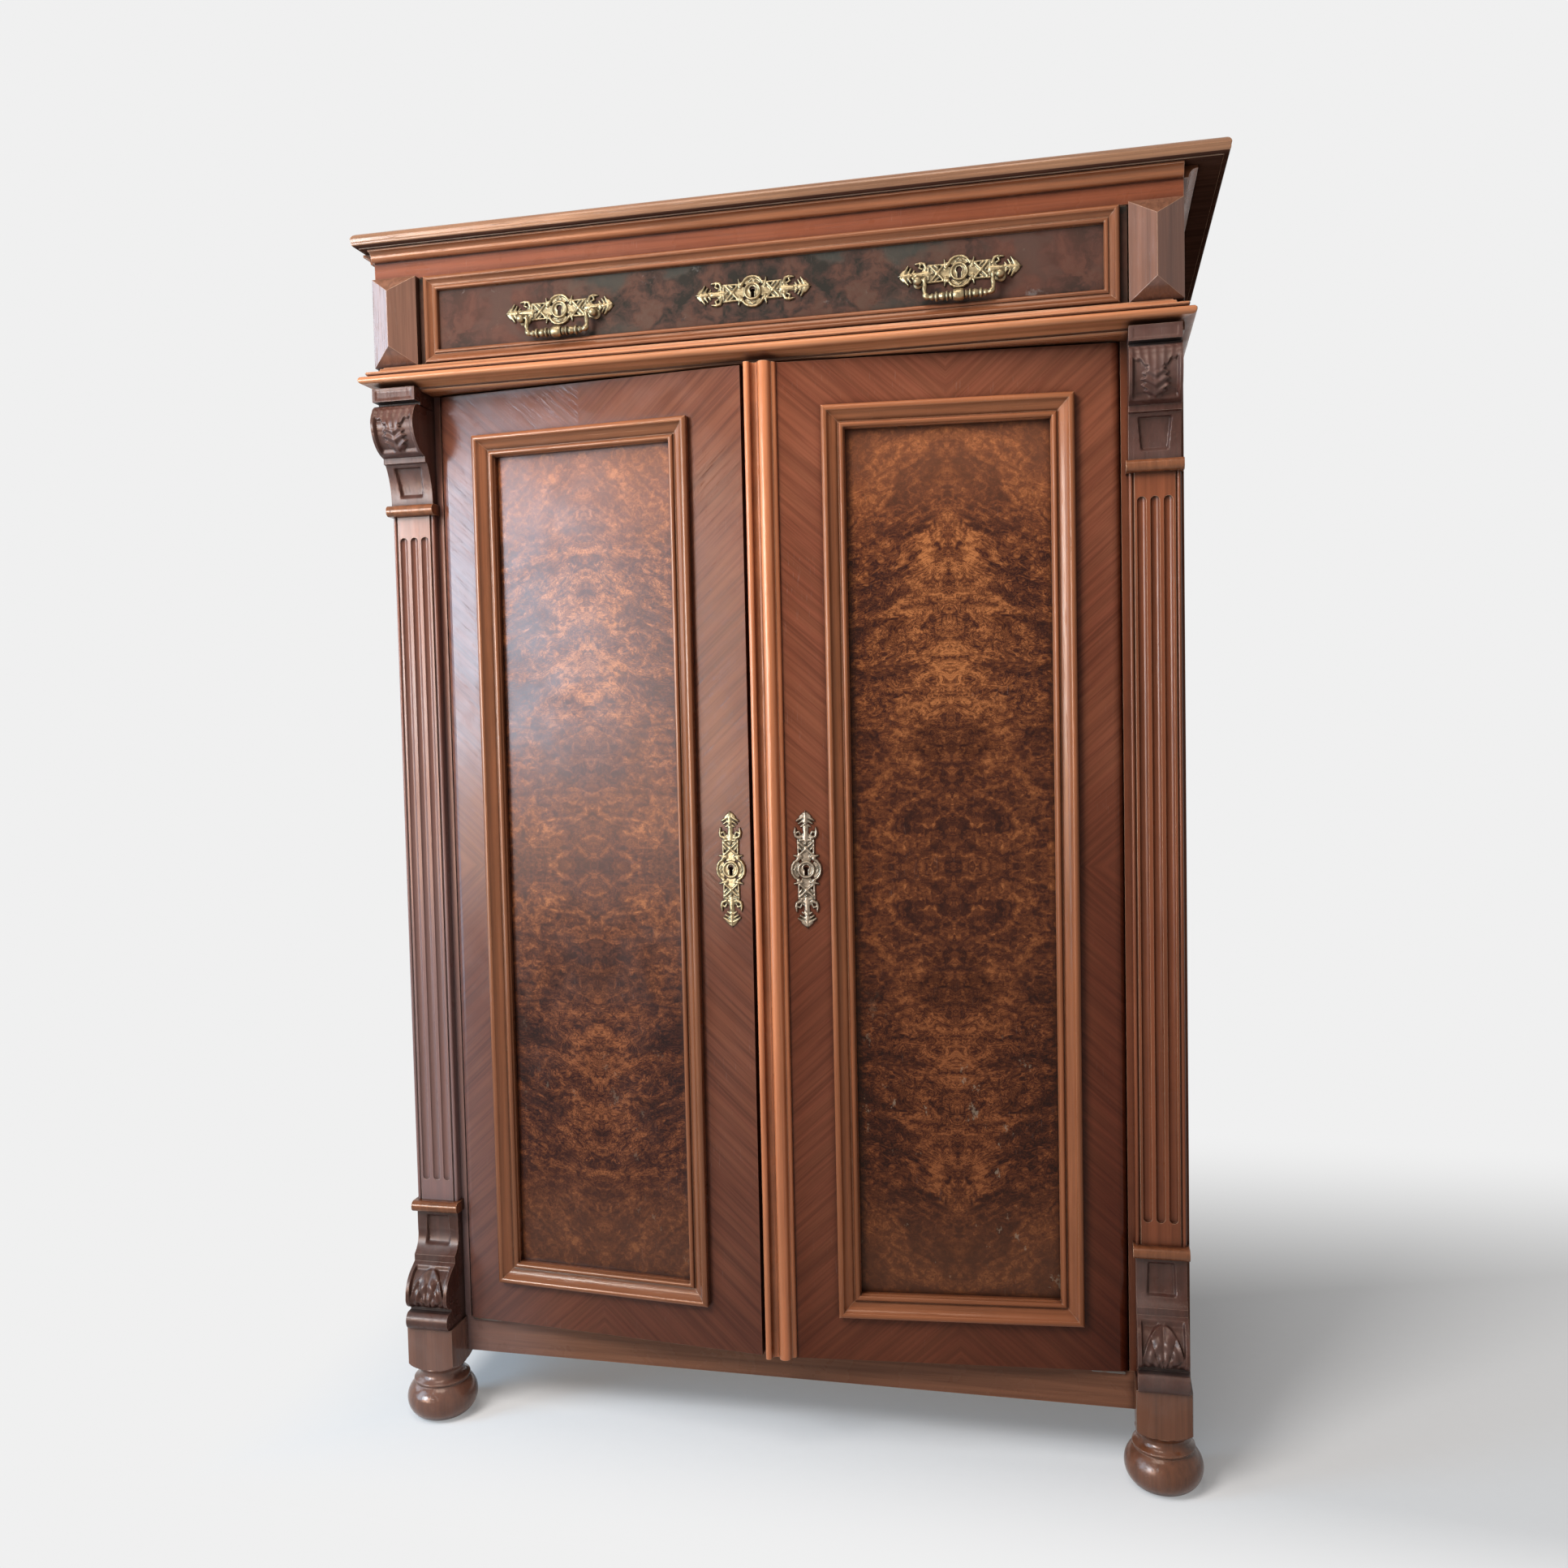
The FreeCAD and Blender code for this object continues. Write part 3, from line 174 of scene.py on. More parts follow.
class Outputs:
    """The outputs of a node, by number or by name."""

    def __init__(self, tree, node):
        self.tree, self.node = tree, node

    def __getitem__(self, key):
        return Value(self.tree, self.node.outputs[key])


class ShaderTree:
    """The nodes of one material, world or effect."""

    def __init__(self, tree):
        tree.nodes.clear()
        self.tree = tree

    def feed(self, socket, value):
        """Links a value to an input, or sets the input to it."""
        if isinstance(value, Value):
            self.tree.links.new(value.socket, socket)
        else:
            socket.default_value = tuple(value)[:3] + (1.0,) if socket.type == "RGBA" else value

    def put(self, kind, inputs=None, **settings):
        """Adds a node, sets its properties, feeds its inputs and gives its outputs."""
        made = self.tree.nodes.new(kind)
        for key, value in settings.items():
            setattr(made, key, value)
        for key, value in (inputs or {}).items():
            self.feed(made.inputs[key], value)
        return Outputs(self, made)

    def use(self, effect_group, **inputs):
        return self.put("ShaderNodeGroup", inputs, node_tree=effect_group())

    def calc(self, operation, a, b=0.0, clamp=False):
        return self.put("ShaderNodeMath", {0: a, 1: b}, operation=operation, use_clamp=clamp)[0]

    def vector_calc(self, operation, a, b):
        return self.put("ShaderNodeVectorMath", {0: a, 1: b}, operation=operation)[0]

    def scaled(self, vector, by):
        return self.vector_calc("MULTIPLY", vector, by)

    def split(self, vector):
        parts = self.put("ShaderNodeSeparateXYZ", {0: vector})
        return parts[0], parts[1], parts[2]

    def join(self, x, y, z):
        return self.put("ShaderNodeCombineXYZ", {0: x, 1: y, 2: z})[0]

    def blend(self, factor, a, b, mode="MIX"):
        return self.put("ShaderNodeMix", {0: factor, 6: a, 7: b}, data_type="RGBA", blend_type=mode)[2]

    def stain(self, colour, mask, amount, other):
        """Turns a colour into another one where the mask says."""
        return self.blend(mask * amount, colour, other)

    def glaze(self, colour, mask, amount, other):
        """Multiplies a colour by another one where the mask says."""
        return self.blend(mask * amount, colour, other, "MULTIPLY")

    def span(self, value, low, high, out_low=0.0, out_high=1.0, kind="SMOOTHSTEP"):
        return self.put("ShaderNodeMapRange", {0: value, 1: low, 2: high, 3: out_low, 4: out_high},
                        interpolation_type=kind)[0]

    def noise(self, vector, scale, detail=3.0, rough=0.55, twist=0.0, output=0):
        return self.put("ShaderNodeTexNoise", {"Vector": vector, "Scale": scale, "Detail": detail, "Roughness": rough,
                                               "Distortion": twist})[output]

    def ramp(self, factor, stops):
        made = self.put("ShaderNodeValToRGB", {0: factor})
        elements = made.node.color_ramp.elements
        while len(elements) < len(stops):
            elements.new(0.5)
        for element, (place, colour) in zip(elements, stops):
            element.position = place
            element.color = tuple(colour)[:3] + (1.0,)
        return made[0]

    def relief(self, height, normal, strength):
        return self.put("ShaderNodeBump", {"Height": height, "Normal": normal, "Strength": strength,
                                           "Distance": 0.0006})[0]

    def surface(self, inputs):
        """Ends a material with its shader."""
        self.put("ShaderNodeOutputMaterial", {0: self.put("ShaderNodeBsdfPrincipled", inputs)[0]})


def new_material(name):
    made = bpy.data.materials.new(name)
    made.use_nodes = True
    tree = ShaderTree(made.node_tree)
    return made, tree, tree.put("ShaderNodeTexCoord")["Object"]


def effect(**inputs):
    """Makes the function below it give a shader node group, built once; an input without a default is a vector."""

    def wrap(build):
        def group():
            if build.__name__ in bpy.data.node_groups:
                return bpy.data.node_groups[build.__name__]
            made = bpy.data.node_groups.new(build.__name__, "ShaderNodeTree")
            tree = ShaderTree(made)

            def socket(label, way, vector):
                kind = "NodeSocketVector" if vector else "NodeSocketFloat"
                return made.interface.new_socket(name=label, in_out=way, socket_type=kind)

            for label, default in inputs.items():
                given = socket(label, "INPUT", default is None)
                if default is not None:
                    given.default_value = default
            results = build(tree, tree.put("NodeGroupInput"))
            for label in results:
                socket(label, "OUTPUT", label == "Normal")
            tree.put("NodeGroupOutput", results)
            return made

        return group

    return wrap


@effect(Vector=None, Stretch=None)
def plank_grain(tree, given):
    """Long streaks, fine pores and broad clouds of plain wood; Stretch is small along the grain."""
    long = tree.scaled(given["Vector"], given["Stretch"])
    streak = tree.noise(long, 1.0, 6.0, 0.62, 0.5)
    fine = tree.noise(tree.scaled(long, (5.0, 5.0, 5.0)), 1.0, 3.0, 0.7)
    cloud = tree.noise(given["Vector"], 5.0, 2.0)
    return {"Streak": tree.span(streak, 0.32, 0.68), "Pores": tree.span(fine, 0.58, 0.72),
            "Cloud": tree.span(cloud, 0.3, 0.7)}


@effect(Vector=None, Scale=None, Swirl=None)
def burl_figure(tree, given):
    """Swirls, eyes and dark pools of burr veneer."""
    base = tree.scaled(given["Vector"], given["Scale"])
    shift = tree.vector_calc("SUBTRACT", tree.noise(base, 1.1, 3.0, 0.5, output=1), (0.5, 0.5, 0.5))
    warped = tree.vector_calc("ADD", base, tree.scaled(shift, given["Swirl"]))
    tone = tree.noise(warped, 1.6, 6.0, 0.62, 0.6)
    curl = tree.noise(warped, 2.2, 3.0, 0.5, 1.2)
    cells = tree.put("ShaderNodeTexVoronoi", {"Vector": tree.scaled(warped, (1.0, 1.0, 1.3)), "Scale": 5.5,
                                              "Randomness": 1.0}, feature="F1")[0]
    where = tree.span(tree.noise(base, 0.8, 2.0), 0.46, 0.62)
    return {"Tone": tree.span(tone, 0.30, 0.72),
            "Lines": tree.span(tree.calc("PINGPONG", curl * 13.0, 0.5), 0.05, 0.42),
            "Eyes": tree.span(cells, 0.10, 0.34, 1.0, 0.0) * where,
            "Pools": tree.span(tree.noise(warped, 0.62, 2.0, 0.5, 0.8), 0.50, 0.66),
            "Pores": tree.span(tree.noise(base, 26.0, 3.0, 0.7), 0.55, 0.72)}


@effect(Vector=None, Radius=0.0008, Amount=0.3)
def edge_wear(tree, given):
    """Rounded edges for the light to catch, an edge mask on which a highlight gets painted, and a mask where they are
    worn and chipped.
    """
    soft = tree.put("ShaderNodeBevel", {"Radius": given["Radius"]}, samples=6)[0]
    true = tree.put("ShaderNodeNewGeometry")["Normal"]
    same = tree.put("ShaderNodeVectorMath", {0: soft, 1: true}, operation="DOT_PRODUCT")["Value"]
    turned = tree.span(same, 0.995, 0.90)
    patchy = tree.noise(given["Vector"], 55.0, 4.0, 0.65)
    broad = tree.noise(given["Vector"], 9.0, 2.0)
    limit = 1.15 - (patchy + broad * 0.35) - given["Amount"]
    return {"Mask": tree.span(turned - limit, 0.0, 0.25) * turned, "Edge": turned, "Normal": soft}


@effect(Vector=None, Reach=0.012)
def shade_and_grime_in_grooves(tree, given):
    """Painted shade in grooves and corners from ambient occlusion, which stands also for old polish and dust lying
    there.
    """
    open_part = tree.put("ShaderNodeAmbientOcclusion", {"Distance": given["Reach"]}, samples=6)["AO"]
    return {"Mask": tree.span(open_part + tree.noise(given["Vector"], 38.0, 3.0, 0.6) * 0.24, 1.02, 0.56)}


@effect(Vector=None)
def old_polish(tree, given):
    """Uneven gloss and fine scratches of hand polish that has aged."""
    smear = tree.noise(given["Vector"], 14.0, 4.0, 0.6, 0.4)
    hair = tree.noise(tree.scaled(given["Vector"], (900.0, 900.0, 60.0)), 1.0, 2.0)
    return {"Dull": tree.span(smear, 0.35, 0.75), "Scuffs": tree.span(hair, 0.64, 0.72) * tree.span(smear, 0.50, 0.70)}


# Materials

HINGES = {joint["child"]: joint for joint in frame["joints"]}
DOOR_AJAR = -math.radians(HINGES["left_door"]["range_deg"][0])
LEFT_PIVOT, RIGHT_PIVOT = (Vector(HINGES[name]["pos_m"]) for name in ("left_door", "right_door"))
CASE_MIDDLE = (LEFT_PIVOT.x + RIGHT_PIVOT.x) / 2
DOOR_MIDDLE = 0.21075
RING_LOW, RING_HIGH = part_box("left_door_moulding")
DOOR_MIDDLE_Z = (RING_LOW.z + RING_HIGH.z) / 2
RING_HALF_WIDTH, RING_HALF_HEIGHT = 0.13625, (RING_HIGH.z - RING_LOW.z) / 2
WORDS = {-1: "left", 1: "right"}
SLANT = math.radians(42.0)
STRETCH = {"X": (3.0, 130.0, 130.0), "Y": (130.0, 3.0, 130.0), "Z": (130.0, 130.0, 3.0)}
KNOT_STRETCH = {"X": (3.0, 9.0, 9.0), "Y": (9.0, 3.0, 9.0), "Z": (9.0, 9.0, 3.0)}
# Glossy finish for moulded crests, with a strong painted highlight on their edges and full painted shade, with dirt, in
# the grooves.
CREST = {"gloss": (0.13, 0.27), "shine": 0.48, "tint": (1.0, 0.74, 0.57), "crest": 0.95, "grime": 1.0, "radius": 0.0012}
TARNISH = (0.330, 0.258, 0.205)
# Colours laid on by polish_on: a painted edge highlight, painted shade with dirt in grooves, scuffs, painted shade near
# the floor, a painted window glare, and dust.
EDGE_HIGHLIGHT, GROOVE_SHADE_AND_GRIME, SCUFF = (1.9, 1.75, 1.6), (0.20, 0.15, 0.14), (0.45, 0.38, 0.34)
SHADE_NEAR_FLOOR, PAINTED_GLARE, DUST = (0.46, 0.38, 0.34), (0.262, 0.196, 0.196), (0.36, 0.31, 0.29)
BARE_WOOD, BARE_VENEER = (0.558, 0.324, 0.198), (0.30, 0.16, 0.10)


def shaded(colour, amount):
    return tuple(channel * amount for channel in colour)


def door_place(tree, place, side):
    """Turns a door's place back to the shut door, measured from the door's own middle line."""
    pivot = LEFT_PIVOT if side < 0 else RIGHT_PIVOT
    angle = -side * DOOR_AJAR
    shift = pivot - Matrix.Rotation(angle, 3, "Z") @ pivot
    middle = CASE_MIDDLE + side * DOOR_MIDDLE
    return tree.put("ShaderNodeMapping", {"Vector": place, "Location": (shift.x - middle, shift.y, 0.0),
                                          "Rotation": (0.0, 0.0, angle)}, vector_type="POINT")[0]


def polish_on(tree, place, colour, height, wear_colour, wear=0.30, radius=0.0008, gloss=(0.22, 0.40), grime=0.85,
              bump=0.25, shine=0.20, tint=(1.0, 0.80, 0.68), dust=0.0, crest=0.55, sink=0.55, bleach=0.0):
    """Lays painted shade with dirt in grooves, worn edges with a painted highlight, painted shade near the floor, a
    painted window glare, gloss and relief over a wood colour.
    """
    edge_masks = tree.use(edge_wear, Vector=place, Radius=radius, Amount=wear)
    shaded_dirty_grooves = tree.use(shade_and_grime_in_grooves, Vector=place)["Mask"]
    film = tree.use(old_polish, Vector=place)
    # Painted highlight: the edges are brightened by the crest amount, as if they caught the light.
    colour = tree.glaze(colour, edge_masks["Edge"], crest, EDGE_HIGHLIGHT)
    colour = tree.blend(edge_masks["Mask"], colour, wear_colour)
    # Painted shade in grooves and corners (ambient occlusion), which also stands for old polish and dust there.
    colour = tree.glaze(colour, shaded_dirty_grooves, grime, GROOVE_SHADE_AND_GRIME)
    colour = tree.stain(colour, film["Scuffs"], 0.12, SCUFF)
    x, _, z = tree.split(place)
    # Painted shade: the colour is darkened towards the floor, below about 1.05 m.
    colour = tree.blend(tree.span(z, 1.05, 0.10, 0.0, sink, "LINEAR"), colour, SHADE_NEAR_FLOOR, "MULTIPLY")
    # Painted reflection: a greyish-lilac glare of the window at the left is mixed into the left part of the cupboard,
    # more of it below about a metre.
    if bleach:
        glare_patch = tree.span(x, -0.25, -0.44) * tree.span(z, 1.05, 0.60, 0.4, 1.0)
        colour = tree.stain(colour, glare_patch, bleach, PAINTED_GLARE)
    if dust:
        colour = tree.stain(colour, film["Dull"], dust, DUST)
    rough = tree.span(film["Dull"], 0.0, 1.0, *gloss, "LINEAR")
    tree.surface({"Base Color": colour, "Roughness": tree.calc("ADD", rough, shaded_dirty_grooves * 0.25, clamp=True),
                  "Normal": tree.relief(height, edge_masks["Normal"], bump), "Specular IOR Level": shine,
                  "Specular Tint": tint})


def plain_wood(name, colour, along, band=None, **finish):
    """Straight-grained polished wood; band marks the mitred frame whose rails run the other way."""
    if name in bpy.data.materials:
        return bpy.data.materials[name]
    made, tree, place = new_material(name)
    if band:
        side, (middle_x, middle_z), half_wide, half_high = band
        at = door_place(tree, place, side) if side else place
        x, _, z = tree.split(at)
        in_rail = tree.calc("LESS_THAN", half_high - abs(z - middle_z), half_wide - abs(x - middle_x))
        grain, across = (tree.use(plank_grain, Vector=at, Stretch=STRETCH[way]) for way in "ZX")
        streak, pores = (tree.put("ShaderNodeMix", {0: in_rail, 2: grain[part], 3: across[part]})[0]
                         for part in ("Streak", "Pores"))
    else:
        grain = tree.use(plank_grain, Vector=place, Stretch=STRETCH[along])
        streak, pores = grain["Streak"], grain["Pores"]
    tone = tree.blend(streak, shaded(colour, 0.78), shaded(colour, 1.22))
    tone = tree.glaze(tone, grain["Cloud"], 0.35, (0.66, 0.55, 0.52))
    tone = tree.glaze(tone, pores, 0.28, (0.42, 0.36, 0.34))
    finish.setdefault("wear_colour", BARE_WOOD)
    polish_on(tree, place, tone, streak * 0.3 - pores, **finish)
    return made


def slanted_veneer(side):
    """Striped veneer of a door, laid on the slant and mirrored about the door's middle lines, on stiles and rails
    alike.
    """
    made, tree, place = new_material("slanted_veneer_" + WORDS[side])
    at = door_place(tree, place, side)
    x, _, z = tree.split(at)
    across, up = abs(x), abs(z - DOOR_MIDDLE_Z)
    rung = up * math.cos(SLANT) - across * math.sin(SLANT)
    run = across * math.cos(SLANT) + up * math.sin(SLANT)
    leaf = tree.join(rung, side * 0.05, run)
    grain = tree.use(plank_grain, Vector=leaf, Stretch=(210.0, 1.0, 6.0))
    ribbon = tree.span(tree.noise(tree.scaled(leaf, (85.0, 1.0, 2.5)), 1.0, 4.0, 0.65, 0.3), 0.36, 0.68)
    base = shaded(colours().stile, 0.92 if side < 0 else 1.30)
    tone = tree.blend(grain["Streak"], shaded(base, 0.72), shaded(base, 1.28))
    tone = tree.stain(tone, ribbon, 0.50, (0.235, 0.082, 0.040))
    tone = tree.glaze(tone, tree.span(tree.noise(at, 3.6, 2.0), 0.35, 0.66), 0.6, (0.58, 0.46, 0.44))
    tone = tree.glaze(tone, grain["Pores"], 0.40, (0.45, 0.40, 0.40))
    # Left door: painted shade towards the floor and a little painted reflection of the window glare.
    finish = {"tint": (1.0, 0.96, 0.96), "sink": 0.62, "bleach": 0.20}
    # Right door: painted shade on its outer stile low down, and stronger painted shade towards the floor.
    if side > 0:
        tone = tree.glaze(tone, tree.span(x, 0.10, 0.18), tree.span(z, 0.95, 0.45), (0.62, 0.48, 0.46))
        finish = {"tint": (1.0, 0.80, 0.70), "sink": 0.95, "shine": 0.15}
    polish_on(tree, place, tone, grain["Streak"] * 0.3 - grain["Pores"], wear_colour=BARE_VENEER, wear=0.12,
              gloss=(0.13, 0.25), grime=0.75, bump=0.12, **finish)
    return made


def door_burl(side):
    """Burr walnut of a door panel, matched both ways about the panel's middle."""
    made, tree, place = new_material("door_burl_" + WORDS[side])
    at = door_place(tree, place, side)
    x, _, level = tree.split(at)
    across, up = abs(x), abs(level - DOOR_MIDDLE_Z)
    fall = up + across * tree.span(up, 0.10, 0.34, 0.0, 0.42)
    big = tree.use(burl_figure, Vector=tree.join(across, 0.35 + side * 0.012, fall), Scale=(11.0, 11.0, 21.0),
                   Swirl=(2.1, 2.1, 2.1))
    small = tree.use(burl_figure, Vector=tree.join(across, 0.80 + side * 0.012, up), Scale=(70.0, 70.0, 78.0),
                     Swirl=(1.9, 1.9, 1.9))
    swirly = tree.span(up, 0.10, 0.22) * tree.span(up, 0.42, 0.32)
    mottle = big["Tone"] * 0.42 + small["Tone"] * 0.40 + small["Lines"] * 0.15
    mottle = mottle + (big["Lines"] - 0.5) * 0.20 * (swirly + 0.30)
    mottle = tree.calc("ADD", mottle, swirly * tree.span(across, 0.080, 0.01) * 0.14, clamp=True)
    tone = tree.ramp(mottle, [(0.16, colours().burl_dark), (0.38, (0.060, 0.017, 0.009)), (0.55, (0.122, 0.036, 0.014)),
                              (0.70, (0.215, 0.070, 0.024)), (0.92, colours().burl_light)])
    tone = tree.glaze(tone, big["Pools"], 0.60, (0.34, 0.27, 0.29))
    tone = tree.glaze(tone, small["Eyes"], 0.50, (0.40, 0.30, 0.26))
    tone = tree.glaze(tone, small["Pores"], 0.30, (0.45, 0.36, 0.34))
    tone = tree.stain(tone, tree.span(up, 0.34, 0.46), 0.40, (0.160, 0.062, 0.030))
    low_band = tree.span(level, 0.24, 0.36) * tree.span(level, 0.62, 0.46)
    tone = tree.glaze(tone, low_band, 0.62, (0.52, 0.42, 0.46))
    tone = tree.blend(tree.span(level, 1.00, 1.15, 0.0, 0.85), tone, (1.65, 1.60, 1.55), "MULTIPLY")
    scar = tree.span(tree.noise(tree.scaled(at, (38.0, 38.0, 26.0)), 1.0, 5.0, 0.75), 0.625, 0.67)
    scar = scar * tree.span(level, 0.56, 0.42)
    tone = tree.stain(tone, scar, 0.55 if side > 0 else 0.20, (0.34, 0.26, 0.18))
    polish_on(tree, place, tone, small["Pores"] * -1.0, wear_colour=BARE_VENEER, wear=0.0, gloss=(0.15, 0.28),
              grime=0.80, bump=0.12, tint=(1.0, 0.82, 0.80) if side < 0 else (1.0, 0.66, 0.52))
    return made


def drawer_burl():
    """Dark greenish-brown burr on the drawer front with pale scuffs."""
    made, tree, place = new_material("dark_drawer_burl")
    x, _, z = tree.split(place)
    leaf = tree.join(abs(x - CASE_MIDDLE), 2.0, z)
    figure = tree.use(burl_figure, Vector=leaf, Scale=(13.0, 13.0, 17.0), Swirl=(1.8, 1.8, 1.8))
    small = tree.use(burl_figure, Vector=leaf, Scale=(42.0, 42.0, 42.0), Swirl=(1.0, 1.0, 1.0))
    tone = tree.ramp(figure["Tone"] * 0.6 + small["Tone"] * 0.4, [
        (0.20, colours().drawer_dark), (0.46, (0.060, 0.034, 0.027)), (0.62, (0.088, 0.043, 0.031)),
        (0.88, colours().drawer_light)])
    tone = tree.stain(tone, figure["Pools"], 0.80, (0.048, 0.050, 0.042))
    tone = tree.stain(tone, tree.span(tree.noise(leaf, 4.0, 2.0), 0.5, 0.66), 0.45, (0.135, 0.050, 0.035))
    tone = tree.glaze(tone, small["Pores"], 0.4, (0.45, 0.40, 0.38))
    tone = tree.stain(tone, tree.span(tree.noise(place, 26.0, 5.0, 0.75), 0.62, 0.75), 0.42, (0.30, 0.27, 0.25))
    polish_on(tree, place, tone, small["Pores"] * -1.0, wear_colour=(0.30, 0.17, 0.11), wear=0.1, gloss=(0.16, 0.30),
              grime=0.7, bump=0.14, shine=0.11)
    return made


def softwood(name, along):
    """Bare pine with knots and darkened by age."""
    made, tree, place = new_material(name)
    grain = tree.use(plank_grain, Vector=place, Stretch=shaded(STRETCH[along], 0.55))
    base = colours().pine
    tone = tree.blend(grain["Streak"], shaded(base, 1.2), shaded(base, 0.62))
    cells = tree.put("ShaderNodeTexVoronoi", {"Vector": tree.scaled(place, KNOT_STRETCH[along]), "Scale": 0.9})[0]
    tone = tree.stain(tone, tree.span(cells, 0.22, 0.06), 0.5, shaded(base, 0.45))
    tone = tree.blend(tree.span(cells, 0.09, 0.04), tone, (0.070, 0.030, 0.015))
    tone = tree.glaze(tone, grain["Cloud"], 0.3, (0.62, 0.52, 0.42))
    polish_on(tree, place, tone, grain["Streak"], wear_colour=(0.60, 0.42, 0.24), wear=0.05, gloss=(0.55, 0.75),
              grime=0.8, bump=0.30)
    return made


def cast_brass(name="old_cast_brass", grey=0.0):
    """Old cast brass: worn crests over dark hollows; grey tells how far it is tarnished."""
    if name in bpy.data.materials:
        return bpy.data.materials[name]
    made, tree, place = new_material(name)
    hidden = tree.put("ShaderNodeAmbientOcclusion", {"Distance": 0.0032}, samples=8)["AO"]
    edge_masks = tree.use(edge_wear, Vector=place, Radius=0.0006, Amount=0.45)
    blotch = tree.noise(place, 260.0, 4.0, 0.65)
    deep = tree.span(hidden + blotch * 0.42, 1.16, 0.74)
    crest = tuple(bright * (1 - grey) + dull * grey for bright, dull in zip(colours().brass, TARNISH))
    tone = tree.blend(tree.span(blotch, 0.35, 0.7), shaded(crest, 0.62), crest)
    tone = tree.blend(deep, tone, (0.048, 0.036, 0.017))
    tone = tree.stain(tone, edge_masks["Mask"], 0.45 * (1 - grey), (0.90, 0.80, 0.56))
    tree.surface({"Base Color": tone, "Metallic": tree.span(deep, 0.0, 1.0, 0.90, 0.15),
                  "Roughness": tree.span(blotch, 0.2, 0.8, 0.24, 0.50),
                  "Normal": tree.relief(blotch, edge_masks["Normal"], 0.6)})
    return made


def dull_iron():
    """Brown, dull iron with rust in its hollows."""
    made, tree, place = new_material("dull_iron")
    edge_masks = tree.use(edge_wear, Vector=place, Radius=0.0005, Amount=0.35)
    rust = tree.span(tree.noise(place, 90.0, 5.0, 0.7), 0.48, 0.66)
    tone = tree.blend(rust, colours().iron, (0.150, 0.062, 0.030))
    tree.surface({"Base Color": tree.blend(edge_masks["Mask"], tone, (0.42, 0.40, 0.37)),
                  "Metallic": tree.span(rust, 0.0, 1.0, 0.85, 0.30), "Roughness": tree.span(rust, 0.0, 1.0, 0.42, 0.80),
                  "Normal": edge_masks["Normal"]})
    return made


# Mesh pieces

MERGE_DISTANCE, SHARP_ANGLE = 0.00001, math.radians(38.0)


def add_piece(name, shapes, body, material, replaced=()):
    """Makes one piece of one or more shapes, each given as its points and faces."""
    points, faces = [], []
    for more, sides in shapes:
        faces += [tuple(i + len(points) for i in face) for face in sides]
        points += [tuple(p) for p in more]
    mesh = bpy.data.meshes.new(name)
    mesh.from_pydata(points, [], faces)
    work = bmesh.new()
    work.from_mesh(mesh)
    bmesh.ops.remove_doubles(work, verts=work.verts, dist=MERGE_DISTANCE)
    bmesh.ops.recalc_face_normals(work, faces=work.faces)
    work.to_mesh(mesh)
    work.free()
    mesh.shade_smooth()
    mesh.set_sharp_from_angle(angle=SHARP_ANGLE)
    made = bpy.data.objects.new(name, mesh)
    bpy.context.scene.collection.objects.link(made)
    mesh.materials.append(material)
    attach(made, body)
    if replaced:
        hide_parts(*replaced)


def middle_of(node):
    low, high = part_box(node)
    return (low + high) / 2


def around(steps):
    return [math.tau * j / steps for j in range(steps)]


def ring_strip(rows):
    """Points and faces of rings of equal length joined one after another, with both ends closed."""
    points = [p for row in rows for p in row]
    count = len(rows[0])
    faces = []
    for i in range(len(rows) - 1):
        for j in range(count):
            k = (j + 1) % count
            faces.append((i * count + j, i * count + k, (i + 1) * count + k, (i + 1) * count + j))
    faces.append(tuple(range(count)))
    faces.append(tuple((len(rows) - 1) * count + j for j in range(count)))
    return points, faces


def lathe(outline, steps=28):
    """Rings (radius, along) turned about an axis, as points (side, along, other side)."""
    return ring_strip([[(r * math.cos(a), h, r * math.sin(a)) for a in around(steps)] for r, h in outline])


def soft_block(low, high, edge):
    """A board with rounded edges."""
    work = bmesh.new()
    bmesh.ops.create_cube(work, size=1.0)
    for vert in work.verts:
        vert.co = Vector([low[i] + (vert.co[i] + 0.5) * (high[i] - low[i]) for i in range(3)])
    bmesh.ops.bevel(work, geom=work.edges[:], offset=edge, segments=2, profile=0.6, affect="EDGES")
    work.verts.index_update()
    points = [tuple(v.co) for v in work.verts]
    faces = [tuple(v.index for v in f.verts) for f in work.faces]
    work.free()
    return points, faces


def arc_points(start, middle, end, count):
    """Points after start on the arc through three points of a plane."""
    (ax, ay), (bx, by), (cx, cy) = start, middle, end
    d = 2 * (ax * (by - cy) + bx * (cy - ay) + cx * (ay - by))
    a_far, b_far, c_far = (x ** 2 + y ** 2 for x, y in (start, middle, end))
    ux = (a_far * (by - cy) + b_far * (cy - ay) + c_far * (ay - by)) / d
    uy = (a_far * (cx - bx) + b_far * (ax - cx) + c_far * (bx - ax)) / d
    a0, a1, a2 = (math.atan2(y - uy, x - ux) for x, y in (start, middle, end))
    forward = (a1 - a0) % math.tau < (a2 - a0) % math.tau
    sweep = (a2 - a0) % math.tau if forward else -((a0 - a2) % math.tau)
    r = math.hypot(ax - ux, ay - uy)
    return [(ux + r * math.cos(a0 + sweep * i / count), uy + r * math.sin(a0 + sweep * i / count))
            for i in range(1, count + 1)]


